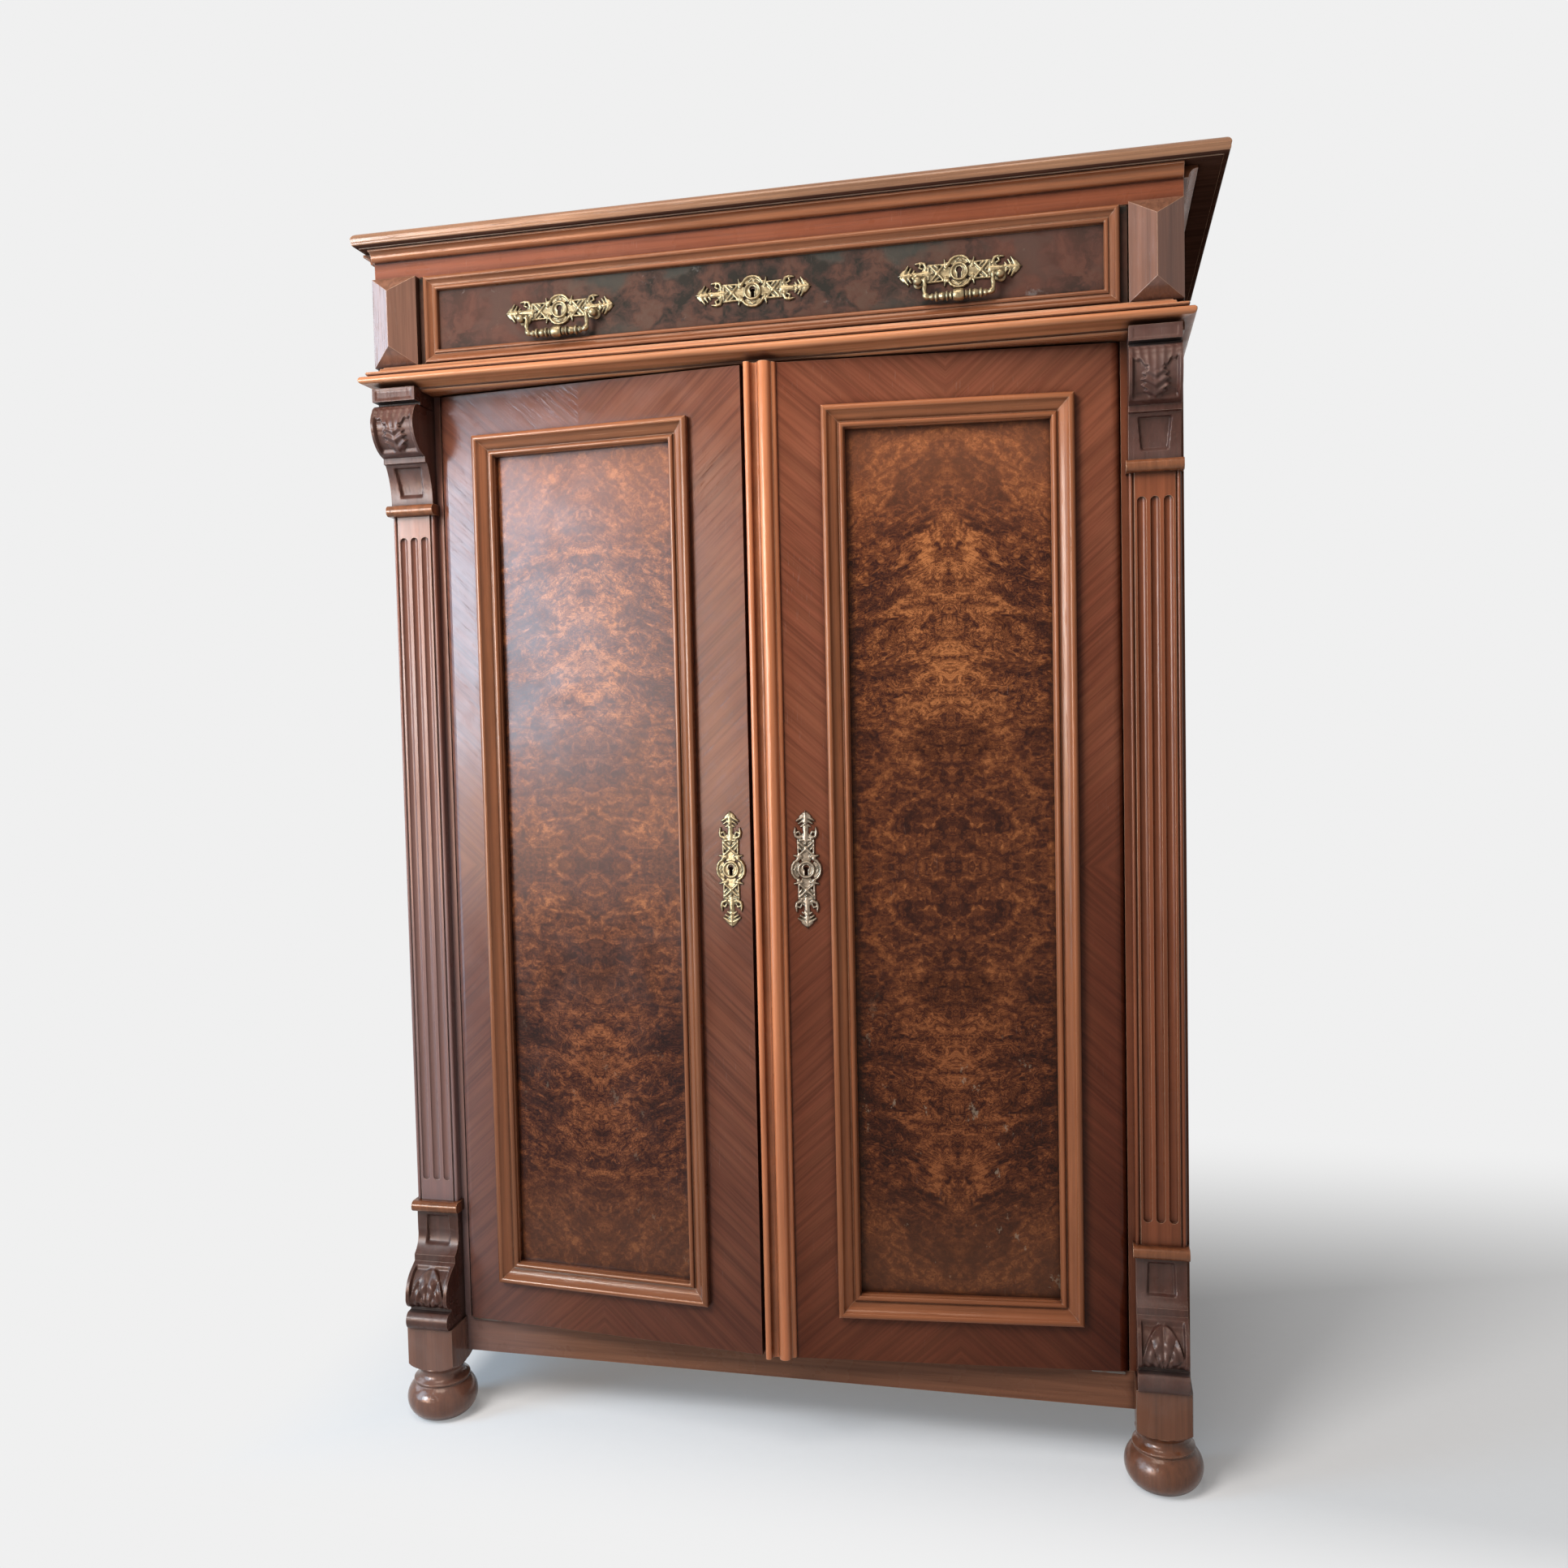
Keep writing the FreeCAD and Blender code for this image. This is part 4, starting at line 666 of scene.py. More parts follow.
def chain(steps, pitch):
    """Even points along steps: a point, or a pair of a point on an arc and its end."""
    rough = [steps[0]]
    for step in steps[1:]:
        if isinstance(step[0], tuple):
            rough += arc_points(rough[-1], step[0], step[1], 24)
        else:
            rough.append(step)
    even = [rough[0]]
    for a, b in zip(rough, rough[1:]):
        parts = max(1, round(math.dist(a, b) / pitch))
        even += [(a[0] + (b[0] - a[0]) * i / parts, a[1] + (b[1] - a[1]) * i / parts) for i in range(1, parts + 1)]
    return even


# Turned front legs: radii and heights in metres

SOLE_RADIUS, BUN_TOP_RADIUS = 0.024, 0.0325
COLLAR_RADIUS, COLLAR_BULGE, COLLAR_HEIGHT = 0.0300, 0.0040, 0.0062
THROAT_RADIUS, SHOULDER_RADIUS, SHOULDER_SPREAD, SHOULDER_HEIGHT = 0.0225, 0.031, 0.0130, 0.014
CORNER_POWER = 26
BLOCK_LEVELS = [0.095, 0.106]
BACKING_INSET, BACKING_EDGE = 0.0004, 0.0012


def leg_radius(height):
    """Radius of the turned foot at a height, and a large one where the leg is square."""
    bun, bun_high = sizes().bun_radius, sizes().bun_height
    neck_top = bun_high + sizes().neck_height
    widest, collar_foot = 0.48 * bun_high, bun_high - COLLAR_HEIGHT
    if height <= collar_foot:
        end, rise = (SOLE_RADIUS, -widest) if height < widest else (BUN_TOP_RADIUS, collar_foot - widest)
        centre = (bun ** 2 - end ** 2 - rise ** 2) / (2 * (bun - end))
        return centre + math.sqrt(max(0.0, (bun - centre) ** 2 - (height - widest) ** 2))
    if height <= bun_high:
        return COLLAR_RADIUS + COLLAR_BULGE * math.sin(math.pi * (height - collar_foot) / COLLAR_HEIGHT) ** 0.7
    if height <= neck_top:
        t = (height - bun_high) / (neck_top - bun_high)
        return COLLAR_RADIUS * (1 - t) ** 2 + 2 * THROAT_RADIUS * t * (1 - t) + SHOULDER_RADIUS * t ** 2
    t = min(1.0, (height - neck_top) / SHOULDER_HEIGHT)
    return SHOULDER_RADIUS + SHOULDER_SPREAD * (1 - (1 - t) ** 2) ** 0.62


def front_legs():
    low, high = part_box("front_legs")
    half, bun = sizes().leg_width / 2, sizes().bun_radius
    neck_top = sizes().bun_height + sizes().neck_height
    turned_to, square_from = neck_top + 0.0002, neck_top + SHOULDER_HEIGHT + 0.0020
    levels = [0.0, 0.0012] + [0.003 + (neck_top - 0.0034) * i / 44 for i in range(45)] + [turned_to]
    levels += [neck_top + 0.0005 + 0.00085 * i for i in range(17)] + [square_from + 0.0005, *BLOCK_LEVELS, high.z]
    centre_y = low.y + bun
    shapes = []
    for x in (low.x + bun, high.x - bun):
        rows = []
        for level in levels:
            turned = leg_radius(level) - (0.001 if level == 0.0 else 0.0)
            row = []
            for a in around(sizes().turning_steps):
                c, s = math.cos(a), math.sin(a)
                square = half / (abs(c) ** CORNER_POWER + abs(s) ** CORNER_POWER) ** (1 / CORNER_POWER)
                r = turned if level < turned_to else (min(turned, square) if level < square_from else square)
                row.append((x + r * c, centre_y + r * s, level))
            rows.append(row)
        inset = half - BACKING_INSET
        shapes += [ring_strip(rows), soft_block((x - inset, centre_y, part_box("bottom_rail")[0].z),
                                                (x + inset, high.y, high.z), BACKING_EDGE)]
    # A little painted reflection of the window glare falls on the left leg.
    wood = plain_wood("polished_leg", (0.180, 0.066, 0.030), "Z", wear=0.45, gloss=(0.12, 0.30), shine=0.48, dust=0.08,
                      wear_colour=(0.42, 0.28, 0.19), tint=(1.0, 0.80, 0.70), bleach=0.12)
    add_piece("turned_front_legs", shapes, "carcass", wood, ("front_legs",))


# Carved brackets: u runs across from -1 to 1, t up from 0 to 1; side lines are shares of reach and height

UPPER_HEIGHT, LOWER_HEIGHT = 0.129, 0.1355
UPPER_SIDE = [
    (0.22, 0), ((0.27, 0.20), (0.42, 0.36)), (0.50, 0.37), (0.50, 0.42), ((0.82, 0.50), (0.97, 0.62)),
    ((1.0, 0.72), (0.93, 0.80)), ((0.82, 0.86), (0.62, 0.865)), (0.62, 0.90), (0.88, 0.90), (0.88, 1.02)]
LOWER_SIDE = [
    (0.80, 0), ((0.90, 0.075), (0.80, 0.15)), (0.66, 0.155), (0.66, 0.18), ((0.84, 0.22), (0.88, 0.30)),
    ((0.80, 0.42), (0.60, 0.51)), (0.42, 0.56), (0.42, 0.62), ((0.26, 0.70), (0.22, 0.82)), (0.22, 1.0)]
CARVED_COLUMNS, CARVED_PITCH = 55, 0.0009


def smooth_step(value, low, high):
    t = min(1.0, max(0.0, (value - low) / (high - low)))
    return t * t * (3 - 2 * t)


def plateau(value, foot, top, edge, end):
    """Rises from 0 to 1 between the first two places and falls again between the last two."""
    return smooth_step(value, foot, top) * smooth_step(value, end, edge)


def upper_carving(u, t):
    """Depth below the face, 0 to 1, of the shell and leaf on the scroll and of the sunk panel below it."""
    depth = 0.0
    if 0.435 < t < 0.862:
        s = (t - 0.435) / 0.427
        rim = smooth_step(abs(u), 0.88, 0.79) * plateau(s, 0.02, 0.07, 0.95, 0.99)
        swag = 0.60 - 0.13 * math.cos(math.tau * u / 1.6) + 0.025 * math.cos(math.tau * 3.5 * u)
        shell = smooth_step(s, swag - 0.02, swag + 0.03)
        flutes = 0.10 + 0.20 * abs(math.sin(math.pi * 3.5 * u * (1.25 - 0.35 * s)))
        swell = math.sin(math.pi * min(1.0, max(0.0, (s + 0.05) / 0.72))) ** 0.6
        wide = 0.52 * swell * (0.85 + 0.15 * math.cos(9 * math.tau * s))
        leaf = smooth_step(abs(u), wide + 0.06, wide - 0.04)
        veins = 0.28 + 0.22 * math.cos(math.tau * (6.0 * s - 1.6 * abs(u))) - 0.20 * math.exp(-(u / 0.06) ** 2)
        depth = rim * (shell * flutes + (1 - shell) * (leaf * veins + 1 - leaf))
    if 0.06 < t < 0.345:
        s = (t - 0.06) / 0.285
        wide = 0.44 + 0.14 * s
        depth = max(depth, 0.95 * smooth_step(abs(u), wide + 0.10, wide) * plateau(s, 0.02, 0.14, 0.90, 0.99))
    if t > 0.90:
        depth = max(depth, 0.16 * smooth_step(abs(u), 0.86, 0.80) * plateau(t, 0.915, 0.93, 0.985, 1.01))
    return depth


def lower_carving(u, t):
    """Depth of the ribbed half-round leaf low down and of the sunk panel above it."""
    depth = 0.0
    if 0.165 < t < 0.545:
        s = (t - 0.165) / 0.38
        rim = smooth_step(abs(u), 0.86, 0.77) * plateau(s, 0.02, 0.08, 0.93, 0.99)
        ray = math.hypot(u / 0.86, s / 0.97)
        ribs = abs(math.sin(5.5 * math.atan2(u / 0.86, s / 0.97 + 0.12)))
        tiers = 0.5 - 0.5 * math.cos(math.tau * 3.0 * ray)
        inside = smooth_step(ray, 1.02, 0.95)
        leaf = 0.12 + 0.50 * (1 - ribs ** 0.6) + 0.34 * tiers * smooth_step(ray, 0.15, 0.30)
        depth = rim * (inside * leaf + 1 - inside)
    if 0.68 < t < 0.975:
        s = (t - 0.68) / 0.295
        wide = 0.50 - 0.05 * s
        depth = max(depth, 0.9 * smooth_step(abs(u), wide + 0.10, wide) * plateau(s, 0.02, 0.14, 0.88, 0.98))
    return depth


def carved_consoles(node, shares, high, carving, piece_name):
    """Two scroll brackets whose front follows the side line and is carved below it."""
    low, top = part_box(node)
    wide, reach = sizes().console_width, sizes().console_reach
    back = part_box("front_post_left")[0].y
    line = [tuple((p[0] * reach, p[1] * high) for p in share) if isinstance(share[0], tuple)
            else (share[0] * reach, share[1] * high) for share in shares]
    side = chain(line, CARVED_PITCH)
    shapes = []
    for x0 in (low.x, top.x - wide):
        rows = []
        for i, (out, up) in enumerate(side):
            before, after = side[max(0, i - 2)], side[min(len(side) - 1, i + 2)]
            along = Vector((after[0] - before[0], after[1] - before[1]))
            along = along.normalized() if along.length > 0 else Vector((0, 1))
            row = [(x0, back, low.z + up)]
            for j in range(CARVED_COLUMNS + 1):
                share = j / CARVED_COLUMNS
                deep = carving(2 * share - 1, up / high) * sizes().carving_depth
                row.append((x0 + wide * share, back - (out - along.y * deep), low.z + up + along.x * deep))
            row.append((x0 + wide, back, low.z + up))
            rows.append(row)
        shapes.append(ring_strip(rows))
    wood = plain_wood("polished_console", colours().console, "Z", wear=0.42, radius=0.0007, gloss=(0.24, 0.44),
                      wear_colour=(0.36, 0.22, 0.16), grime=0.9, shine=0.34, dust=0.10)
    add_piece(piece_name, shapes, "carcass", wood, (node,))


# Cast plates: a blob is two (across, along) pairs and the radius at each, in millimetres, and a share of the relief

RING_RADIUS, RING_TUBE = 8.6, 1.7
KEYHOLE_RADIUS, KEYHOLE_UP, SLOT_HALF_WIDTH, SLOT_DROP = 3.3, 2.2, 1.9, 6.6
PLATE_HALF_WIDTH, PLATE_HALF_LENGTH, PLATE_PITCH = 18.5, 67.2, 0.50
CAST_LENGTH, PLATE_HALF_THICKNESS = 0.1332, 0.00125
CAST_BLOBS = [
    ((0, 12), (0, 20), 5.4, 4.6, 0.26), ((0, 20), (0, 36), 4.6, 5.6, 0.26), ((0, 23.5), (0, 24), 3.0, 3.0, 1.0),
    ((5.6, 23.0), (7.6, 26.0), 1.5, 1.2, 0.80), ((3.4, 33.2), (6.2, 33.0), 1.3, 1.5, 0.85),
    ((0, 23.5), (7.4, 17.0), 1.6, 1.7, 0.85), ((0, 23.5), (7.4, 30.2), 1.6, 1.7, 0.85),
    ((8.6, 15.6), (9.0, 33.0), 1.3, 1.3, 0.70),
    ((9.4, 11.4), (13.2, 8.8), 1.7, 1.8, 0.90), ((13.2, 8.8), (15.6, 4.8), 1.8, 1.8, 0.95),
    ((15.6, 4.8), (16.4, 0), 1.8, 1.6, 0.90), ((8.8, 12.2), (8.8, 12.3), 2.7, 2.7, 1.0),
    ((10.8, 7.0), (11.4, 0), 2.6, 3.2, 0.32), ((11.6, 3.2), (13.6, 0), 1.0, 1.3, 0.62),
    ((5.5, 14.4), (14.0, 15.9), 2.2, 0.9, 0.85),
    ((0, 34), (0, 46), 3.9, 2.6, 0.78), ((0, 36.4), (7.0, 36.6), 2.3, 2.0, 0.55),
    ((6.4, 35.6), (11.2, 37.6), 2.1, 1.9, 0.90), ((11.2, 37.6), (12.3, 42.0), 1.9, 1.8, 0.92),
    ((12.3, 42.0), (11.6, 47.4), 1.8, 0.9, 0.85), ((11.4, 41.2), (7.6, 43.0), 1.4, 1.3, 0.80),
    ((7.6, 43.0), (6.0, 39.8), 1.3, 1.2, 0.75),
    ((0, 44), (0, 55), 3.2, 2.8, 0.60), ((0, 54), (0, 66.0), 3.4, 0.6, 1.0),
    ((2.2, 60.0), (10.0, 55.2), 2.6, 1.1, 0.88), ((1.4, 63.2), (5.4, 60.0), 1.8, 1.5, 0.72),
    ((2.0, 55.6), (7.8, 52.0), 1.7, 1.1, 0.74), ((2.4, 50.4), (5.2, 48.6), 1.3, 0.9, 0.58),
]
PIN_PLACES, PIN_RADIUS = [(0, 29.2), (0, 51.6)], 1.5


def cast_field(across, along, lying):
    """Distance inside the cast outline in millimetres, and the height of the relief, for arrays of places."""
    a, b = np.abs(across), np.abs(along)
    inside = np.full(a.shape, -9.0)
    height = np.zeros(a.shape)
    for (ax, ay), (bx, by), r0, r1, tall in CAST_BLOBS:
        dx, dy = bx - ax, by - ay
        t = np.clip(((a - ax) * dx + (b - ay) * dy) / (dx * dx + dy * dy), 0, 1)
        r = r0 + (r1 - r0) * t
        d = np.hypot(a - ax - t * dx, b - ay - t * dy)
        inside = np.maximum(inside, r - d)
        dome = np.sqrt(np.clip(1 - (d / r) ** 2, 0, 1))
        height = np.maximum(height, np.where(d < r, 0.14 + (tall - 0.14) * dome, 0))
    from_middle = np.hypot(a, b)
    boss = RING_RADIUS - from_middle
    inside = np.maximum(inside, np.maximum(boss, RING_TUBE - np.abs(boss)))
    height = np.maximum(height, np.where(boss > 0, 0.42, 0))
    rim = np.clip(1 - (boss / RING_TUBE) ** 2, 0, 1)
    height = np.maximum(height, 0.30 + 0.70 * np.sqrt(rim) * (rim > 0))
    aside, up = (along, across) if lying else (across, along)
    hole = np.hypot(aside, up - KEYHOLE_UP) - KEYHOLE_RADIUS
    slot = np.maximum(np.abs(aside) - SLOT_HALF_WIDTH, np.maximum(up - KEYHOLE_UP, -SLOT_DROP - up))
    off_keyhole = np.minimum(hole, slot)
    height = np.where((off_keyhole > 0) & (off_keyhole < 1.0), np.maximum(height, 0.58), height)
    inside = np.minimum(inside, off_keyhole)
    for px, py in PIN_PLACES:
        d = np.hypot(a - px, b - py)
        head = 0.62 + 0.42 * np.sqrt(np.clip(1 - (d / PIN_RADIUS) ** 2, 0, 1))
        height = np.where(d < PIN_RADIUS, np.maximum(height, head), height)
    return inside, height


def cast_mesh(lying=False):
    """Points (across, along, height) in metres and faces of one pierced plate; lying ones keep the keyhole upright."""
    na, nb = int(2 * PLATE_HALF_WIDTH / PLATE_PITCH) + 1, int(2 * PLATE_HALF_LENGTH / PLATE_PITCH) + 1
    across, along = np.meshgrid(np.linspace(-PLATE_HALF_WIDTH, PLATE_HALF_WIDTH, na),
                                np.linspace(-PLATE_HALF_LENGTH, PLATE_HALF_LENGTH, nb), indexing="ij")
    inside, _ = cast_field(across, along, lying)
    keep = inside > -0.30
    cells = keep[:-1, :-1] & keep[1:, :-1] & keep[:-1, 1:] & keep[1:, 1:]
    count = np.zeros(keep.shape, int)
    for di in (0, 1):
        for dj in (0, 1):
            count[di:na - 1 + di, dj:nb - 1 + dj] += cells
    used = count > 0
    edge = used & (count < 4)
    step = 0.05
    gx, gy = ((cast_field(across + dx, along + dy, lying)[0] - cast_field(across - dx, along - dy, lying)[0])
              / (2 * step) for dx, dy in ((step, 0), (0, step)))
    norm = np.maximum(np.hypot(gx, gy), 0.5)
    push = np.where(edge, np.clip(-inside, -PLATE_PITCH, PLATE_PITCH), 0.0)
    across, along = across + push * gx / norm, along + push * gy / norm
    _, height = cast_field(across, along, lying)
    height = np.where(edge, np.clip(height, 0.20, 0.45), height)
    smooth = height.copy()
    smooth[1:-1, 1:-1] = 0.5 * height[1:-1, 1:-1] + 0.125 * (height[:-2, 1:-1] + height[2:, 1:-1]
                                                           + height[1:-1, :-2] + height[1:-1, 2:])
    height = np.where(edge, height, smooth)
    number = -np.ones(keep.shape, int)
    number[used] = np.arange(used.sum())
    relief = sizes().plate_relief
    front = [(across[i, j] / 1000, along[i, j] / 1000, height[i, j] * relief) for i, j in zip(*np.nonzero(used))]
    back = [(p[0], p[1], 0.0) for p in front]
    total = len(front)
    faces, borders = [], {}
    for i, j in zip(*np.nonzero(cells)):
        corners = tuple(int(number[place]) for place in ((i, j), (i + 1, j), (i + 1, j + 1), (i, j + 1)))
        faces += [corners, tuple(c + total for c in reversed(corners))]
        for a, b in zip(corners, corners[1:] + corners[:1]):
            key = (min(a, b), max(a, b))
            borders[key] = None if key in borders else (a, b)
    faces += [(b, a, a + total, b + total) for a, b in filter(None, borders.values())]
    return front + back, faces


# Drawer pulls: turned outlines in metres

PULL_AXIS_Z = HINGES["left_bail"]["pos_m"][2]
PULL_MIDDLE_Z = PULL_AXIS_Z + 0.009
POST_OUTLINE = [(0.0001, 0.0), (0.0056, 0.0), (0.0058, 0.0010), (0.0050, 0.0020), (0.0036, 0.0028), (0.0032, 0.0040),
                (0.0036, 0.0052), (0.0046, 0.0062), (0.0050, 0.0082), (0.0052, 0.0104), (0.0047, 0.0126),
                (0.0038, 0.0140), (0.0030, 0.0146), (0.0026, 0.0150), (0.0016, 0.0155), (0.0001, 0.0155)]
PIN_OUTLINE = [(0.0001, 0.0), (0.0017, 0.0), (0.0017, 0.0052), (0.0001, 0.0052)]
ARM_INSET = 0.0046 + 0.0005 + 0.0024
BEND_RADIUS = 0.0050


def brass_plates():
    metal = cast_brass()
    points, faces = cast_mesh()
    stretch = sizes().plate_length / CAST_LENGTH
    for side, plate_metal in ((-1, metal), (1, cast_brass("tarnished_cast_brass", 0.75))):
        body = WORDS[side] + "_door"
        turn = Matrix.Rotation(side * DOOR_AJAR, 3, "Z")
        back = middle_of(body + "_escutcheon") + turn @ Vector((0.0, PLATE_HALF_THICKNESS, 0.0))
        placed = [back + turn @ Vector((a, -h, b * stretch)) for a, b, h in points]
        add_piece(body + "_cast_plate", [(placed, faces)], body, plate_metal, (body + "_escutcheon",))
    points, faces = cast_mesh(lying=True)
    middle, front = middle_of("drawer_escutcheon"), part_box("drawer_escutcheon")[1].y
    placed = [(middle.x + b * stretch, front - h, middle.z + a) for a, b, h in points]
    add_piece("drawer_cast_plate", [(placed, faces)], "drawer", metal, ("drawer_escutcheon",))
    low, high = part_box("pull_plates")
    half = sizes().plate_length / 2
    shapes = []
    for x in (low.x + half, high.x - half):
        shapes.append(([(x + b * stretch, high.y - h, PULL_MIDDLE_Z + a) for a, b, h in points], faces))
        for end in (-1, 1):
            post, sides = lathe(POST_OUTLINE)
            post_x = x + end * sizes().bail_span / 2
            shapes.append(([(post_x + p[0], high.y - p[1], PULL_AXIS_Z + p[2]) for p in post], sides))
    add_piece("pull_cast_plates", shapes, "drawer", metal, ("pull_plates",))


def bail_path():
    """Half of a bail from its pin to its middle: (across, up, radius) in metres."""
    thin, drop = sizes().bail_radius, sizes().bail_drop
    arm = sizes().bail_span / 2 - ARM_INSET
    path = [(arm, 0.0026, 0.0004), (arm, 0.0022, 0.0018), (arm, 0.0008, 0.0026), (arm, -0.0010, 0.0025),
            (arm, -0.0028, 0.0017), (arm - 0.0002, -0.0060, thin), (arm + 0.0004, -0.0100, thin)]
    for i in range(9):
        a = math.radians(90.0 * i / 8)
        path.append((arm - BEND_RADIUS * (1 - math.cos(a)), -drop + BEND_RADIUS * (1 - math.sin(a)),
                     0.0021 + 0.0014 * math.sin(2 * a)))
    run = [(0.0285, 0.0028), (0.0262, 0.0021), (0.0255, 0.0020), (0.0251, 0.0034), (0.0238, 0.0039), (0.0225, 0.0034),
           (0.0221, 0.0021), (0.0200, 0.0028), (0.0172, 0.0034), (0.0146, 0.0026), (0.0138, 0.0020), (0.0134, 0.0035),
           (0.0124, 0.0040), (0.0114, 0.0035), (0.0110, 0.0021), (0.0094, 0.0027), (0.0078, 0.0034), (0.0066, 0.0026),
           (0.0061, 0.0021), (0.0056, 0.0038), (0.0040, 0.0044), (0.0020, 0.0046), (0.0, 0.0046)]
    return path + [(x, -drop, 1.38 * r) for x, r in run]


def swinging_bails():
    metal = cast_brass()
    half = bail_path()
    whole = half + [(-x, z, r) for x, z, r in reversed(half[:-1])]
    side = Vector((0.0, 1.0, 0.0))
    for node, body in (("bail_left", "left_bail"), ("bail_right", "right_bail")):
        x, y, _ = middle_of(node)
        rows = []
        for i, (across, up, radius) in enumerate(whole):
            before, after = whole[max(0, i - 1)], whole[min(len(whole) - 1, i + 1)]
            other = Vector((after[0] - before[0], 0.0, after[1] - before[1])).normalized().cross(side)
            centre = Vector((x + across, y, PULL_AXIS_Z + up))
            rows.append([centre + radius * (math.cos(a) * side + math.sin(a) * other) for a in around(20)])
        shapes = [ring_strip(rows)]
        for end in (-1, 1):
            pin, sides = lathe(PIN_OUTLINE, 16)
            start = x + end * half[0][0]
            shapes.append(([(start + end * p[1], y + p[0], PULL_AXIS_Z + p[2]) for p in pin], sides))
        add_piece(body + "_turned", shapes, body, metal, (node,))


# Ironwork


def slotted_screws(name, node, body, angle, half_x, y, half_z):
    """Four slotted screw heads on the back of a piece, about its middle, turned with it by an angle."""
    radius, slot_depth = sizes().screw_radius, 0.0006
    turn = Matrix.Rotation(angle, 3, "Z")
    out = turn @ Vector((0, 1, 0))
    side = Vector((0, 0, 1)).cross(out).normalized()
    other = out.cross(side)
    shapes = []
    for k, (dx, dz) in enumerate((x, z) for x in (-half_x, half_x) for z in (-half_z, half_z)):
        place = middle_of(node) + turn @ Vector((dx, y, dz))
        slot = 0.6 + 1.1 * k
        rows = []
        for share, h in ((1.0, -0.0002), (1.0, 0.0002), (0.86, 0.00045), (0.5, 0.0006), (0.12, 0.00062)):
            row = []
            for a in around(20):
                u, v = share * radius * math.cos(a), share * radius * math.sin(a)
                in_slot = abs(v * math.cos(slot) - u * math.sin(slot)) < 0.16 * radius and h > 0
                row.append(place + side * u + other * v + out * (h - slot_depth * in_slot))
            rows.append(row)
        shapes.append(ring_strip(rows))
    add_piece(name, shapes, body, bpy.data.materials["dull_iron"])


def ironwork():
    metal = dull_iron()
    for node in ("door_lock", "door_lock_bolt", "foot_bolt", "foot_bolt_staples", "drawer_lock", "drawer_lock_bolt",
                 "pivot_sockets", "left_door_pivots", "right_door_pivots"):
        dress(node, metal)
    inset = Vector((0.006, 0.0, 0.006))
    low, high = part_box("drawer_lock")
    slotted_screws("drawer_lock_screws", "drawer_lock", "drawer", 0.0, *((high - low) / 2 - inset))
    slotted_screws("door_lock_screws", "door_lock", "right_door", DOOR_AJAR, 0.025, 0.006, 0.029)
    low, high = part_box("foot_bolt_staples")
    slotted_screws("foot_bolt_screws", "foot_bolt_staples", "left_door", -DOOR_AJAR, 0.0095, 0.0042,
                   (high.z - low.z) / 2 - inset.z)


# Dressing the carried-over pieces


def dress(node, material):
    mesh = NODES[node].data
    mesh.materials.clear()
    mesh.materials.append(material)


def dress_below(node, material):
    """Adds a material on the faces of a node that look down."""
    mesh = NODES[node].data
    mesh.materials.append(material)
    for face in mesh.polygons:
        if face.normal.z < -0.6:
            face.material_index = len(mesh.materials) - 1


def carcass_woods():
    c = colours()
    for nodes, name, colour, along, finish in (
        ("cornice_moulding waist_rail", "moulding_across", shaded(c.moulding, 1.15), "X", {"wear": 0.34, **CREST}),
        # Painted light: the front waist moulding has its own, lighter copy of the moulding colour, as if lit from
        # above.
        ("waist_moulding_front", "waist_moulding_wood", (0.470, 0.180, 0.078), "X", {"wear": 0.34, **CREST}),
        ("waist_moulding_sides top_cleats", "moulding_side", c.moulding, "Y", {"wear": 0.34}),
        ("pilaster_collars", "collar_wood", shaded(c.moulding, 0.72), "Z", {"wear": 0.30, **CREST}),
        ("pyramid_block_left pyramid_block_right", "dark_block_wood", (0.190, 0.086, 0.052), "Z",
         {"wear": 0.34, "gloss": (0.12, 0.24), "shine": 0.55, "tint": (0.96, 0.96, 1.0)}),
        ("rear_legs", "rear_leg_wood", (0.140, 0.062, 0.040), "Z", {"wear": 0.4, "gloss": (0.35, 0.55)}),
        ("top_board", "polished_top", (0.245, 0.118, 0.062), "X",
         {"wear": 0.46, "gloss": (0.12, 0.26), "shine": 0.5, "crest": 0.9, "radius": 0.0016}),
        # Painted shade: the frieze colour is darkened to 0.66, as the frieze lies in shade below the cornice.
        ("frieze_rail", "polished_frieze", shaded(c.frieze, 0.66), "X",
         {"wear": 0.22, "shine": 0.2, "tint": (1.0, 0.86, 0.8)}),
        # Posts, pilasters and the bottom rail get a painted reflection of the window glare on their left parts.
        ("front_post_left front_post_right pilasters", "polished_post", c.post, "Z",
         {"wear": 0.30, "gloss": (0.13, 0.26), "bump": 0.12, "shine": 0.27, "tint": (1.0, 0.76, 0.62), "bleach": 0.46}),
        ("bottom_rail", "polished_rail", (0.245, 0.106, 0.058), "X", {"wear": 0.26, "bleach": 0.40}),
        ("side_frame_left side_frame_right side_panels", "polished_side", (0.165, 0.066, 0.038), "Z", {"wear": 0.28}),
    ):
        wood = plain_wood(name, colour, along, **finish)
        for node in nodes.split():
            dress(node, wood)
    under = plain_wood("shaded_underside", (0.075, 0.032, 0.020), "X", wear=0.20, gloss=(0.60, 0.80), shine=0.0)
    dress_below("top_board", under)
    for along, names in (("X", "bottom_board dust_board shelves drawer_back drawer_bottom"), ("Z", "back_boards"),
                         ("Y", "shelf_battens drawer_guides drawer_sides")):
        pine = softwood("softwood_" + along, along)
        for name in names.split():
            dress(name, pine)


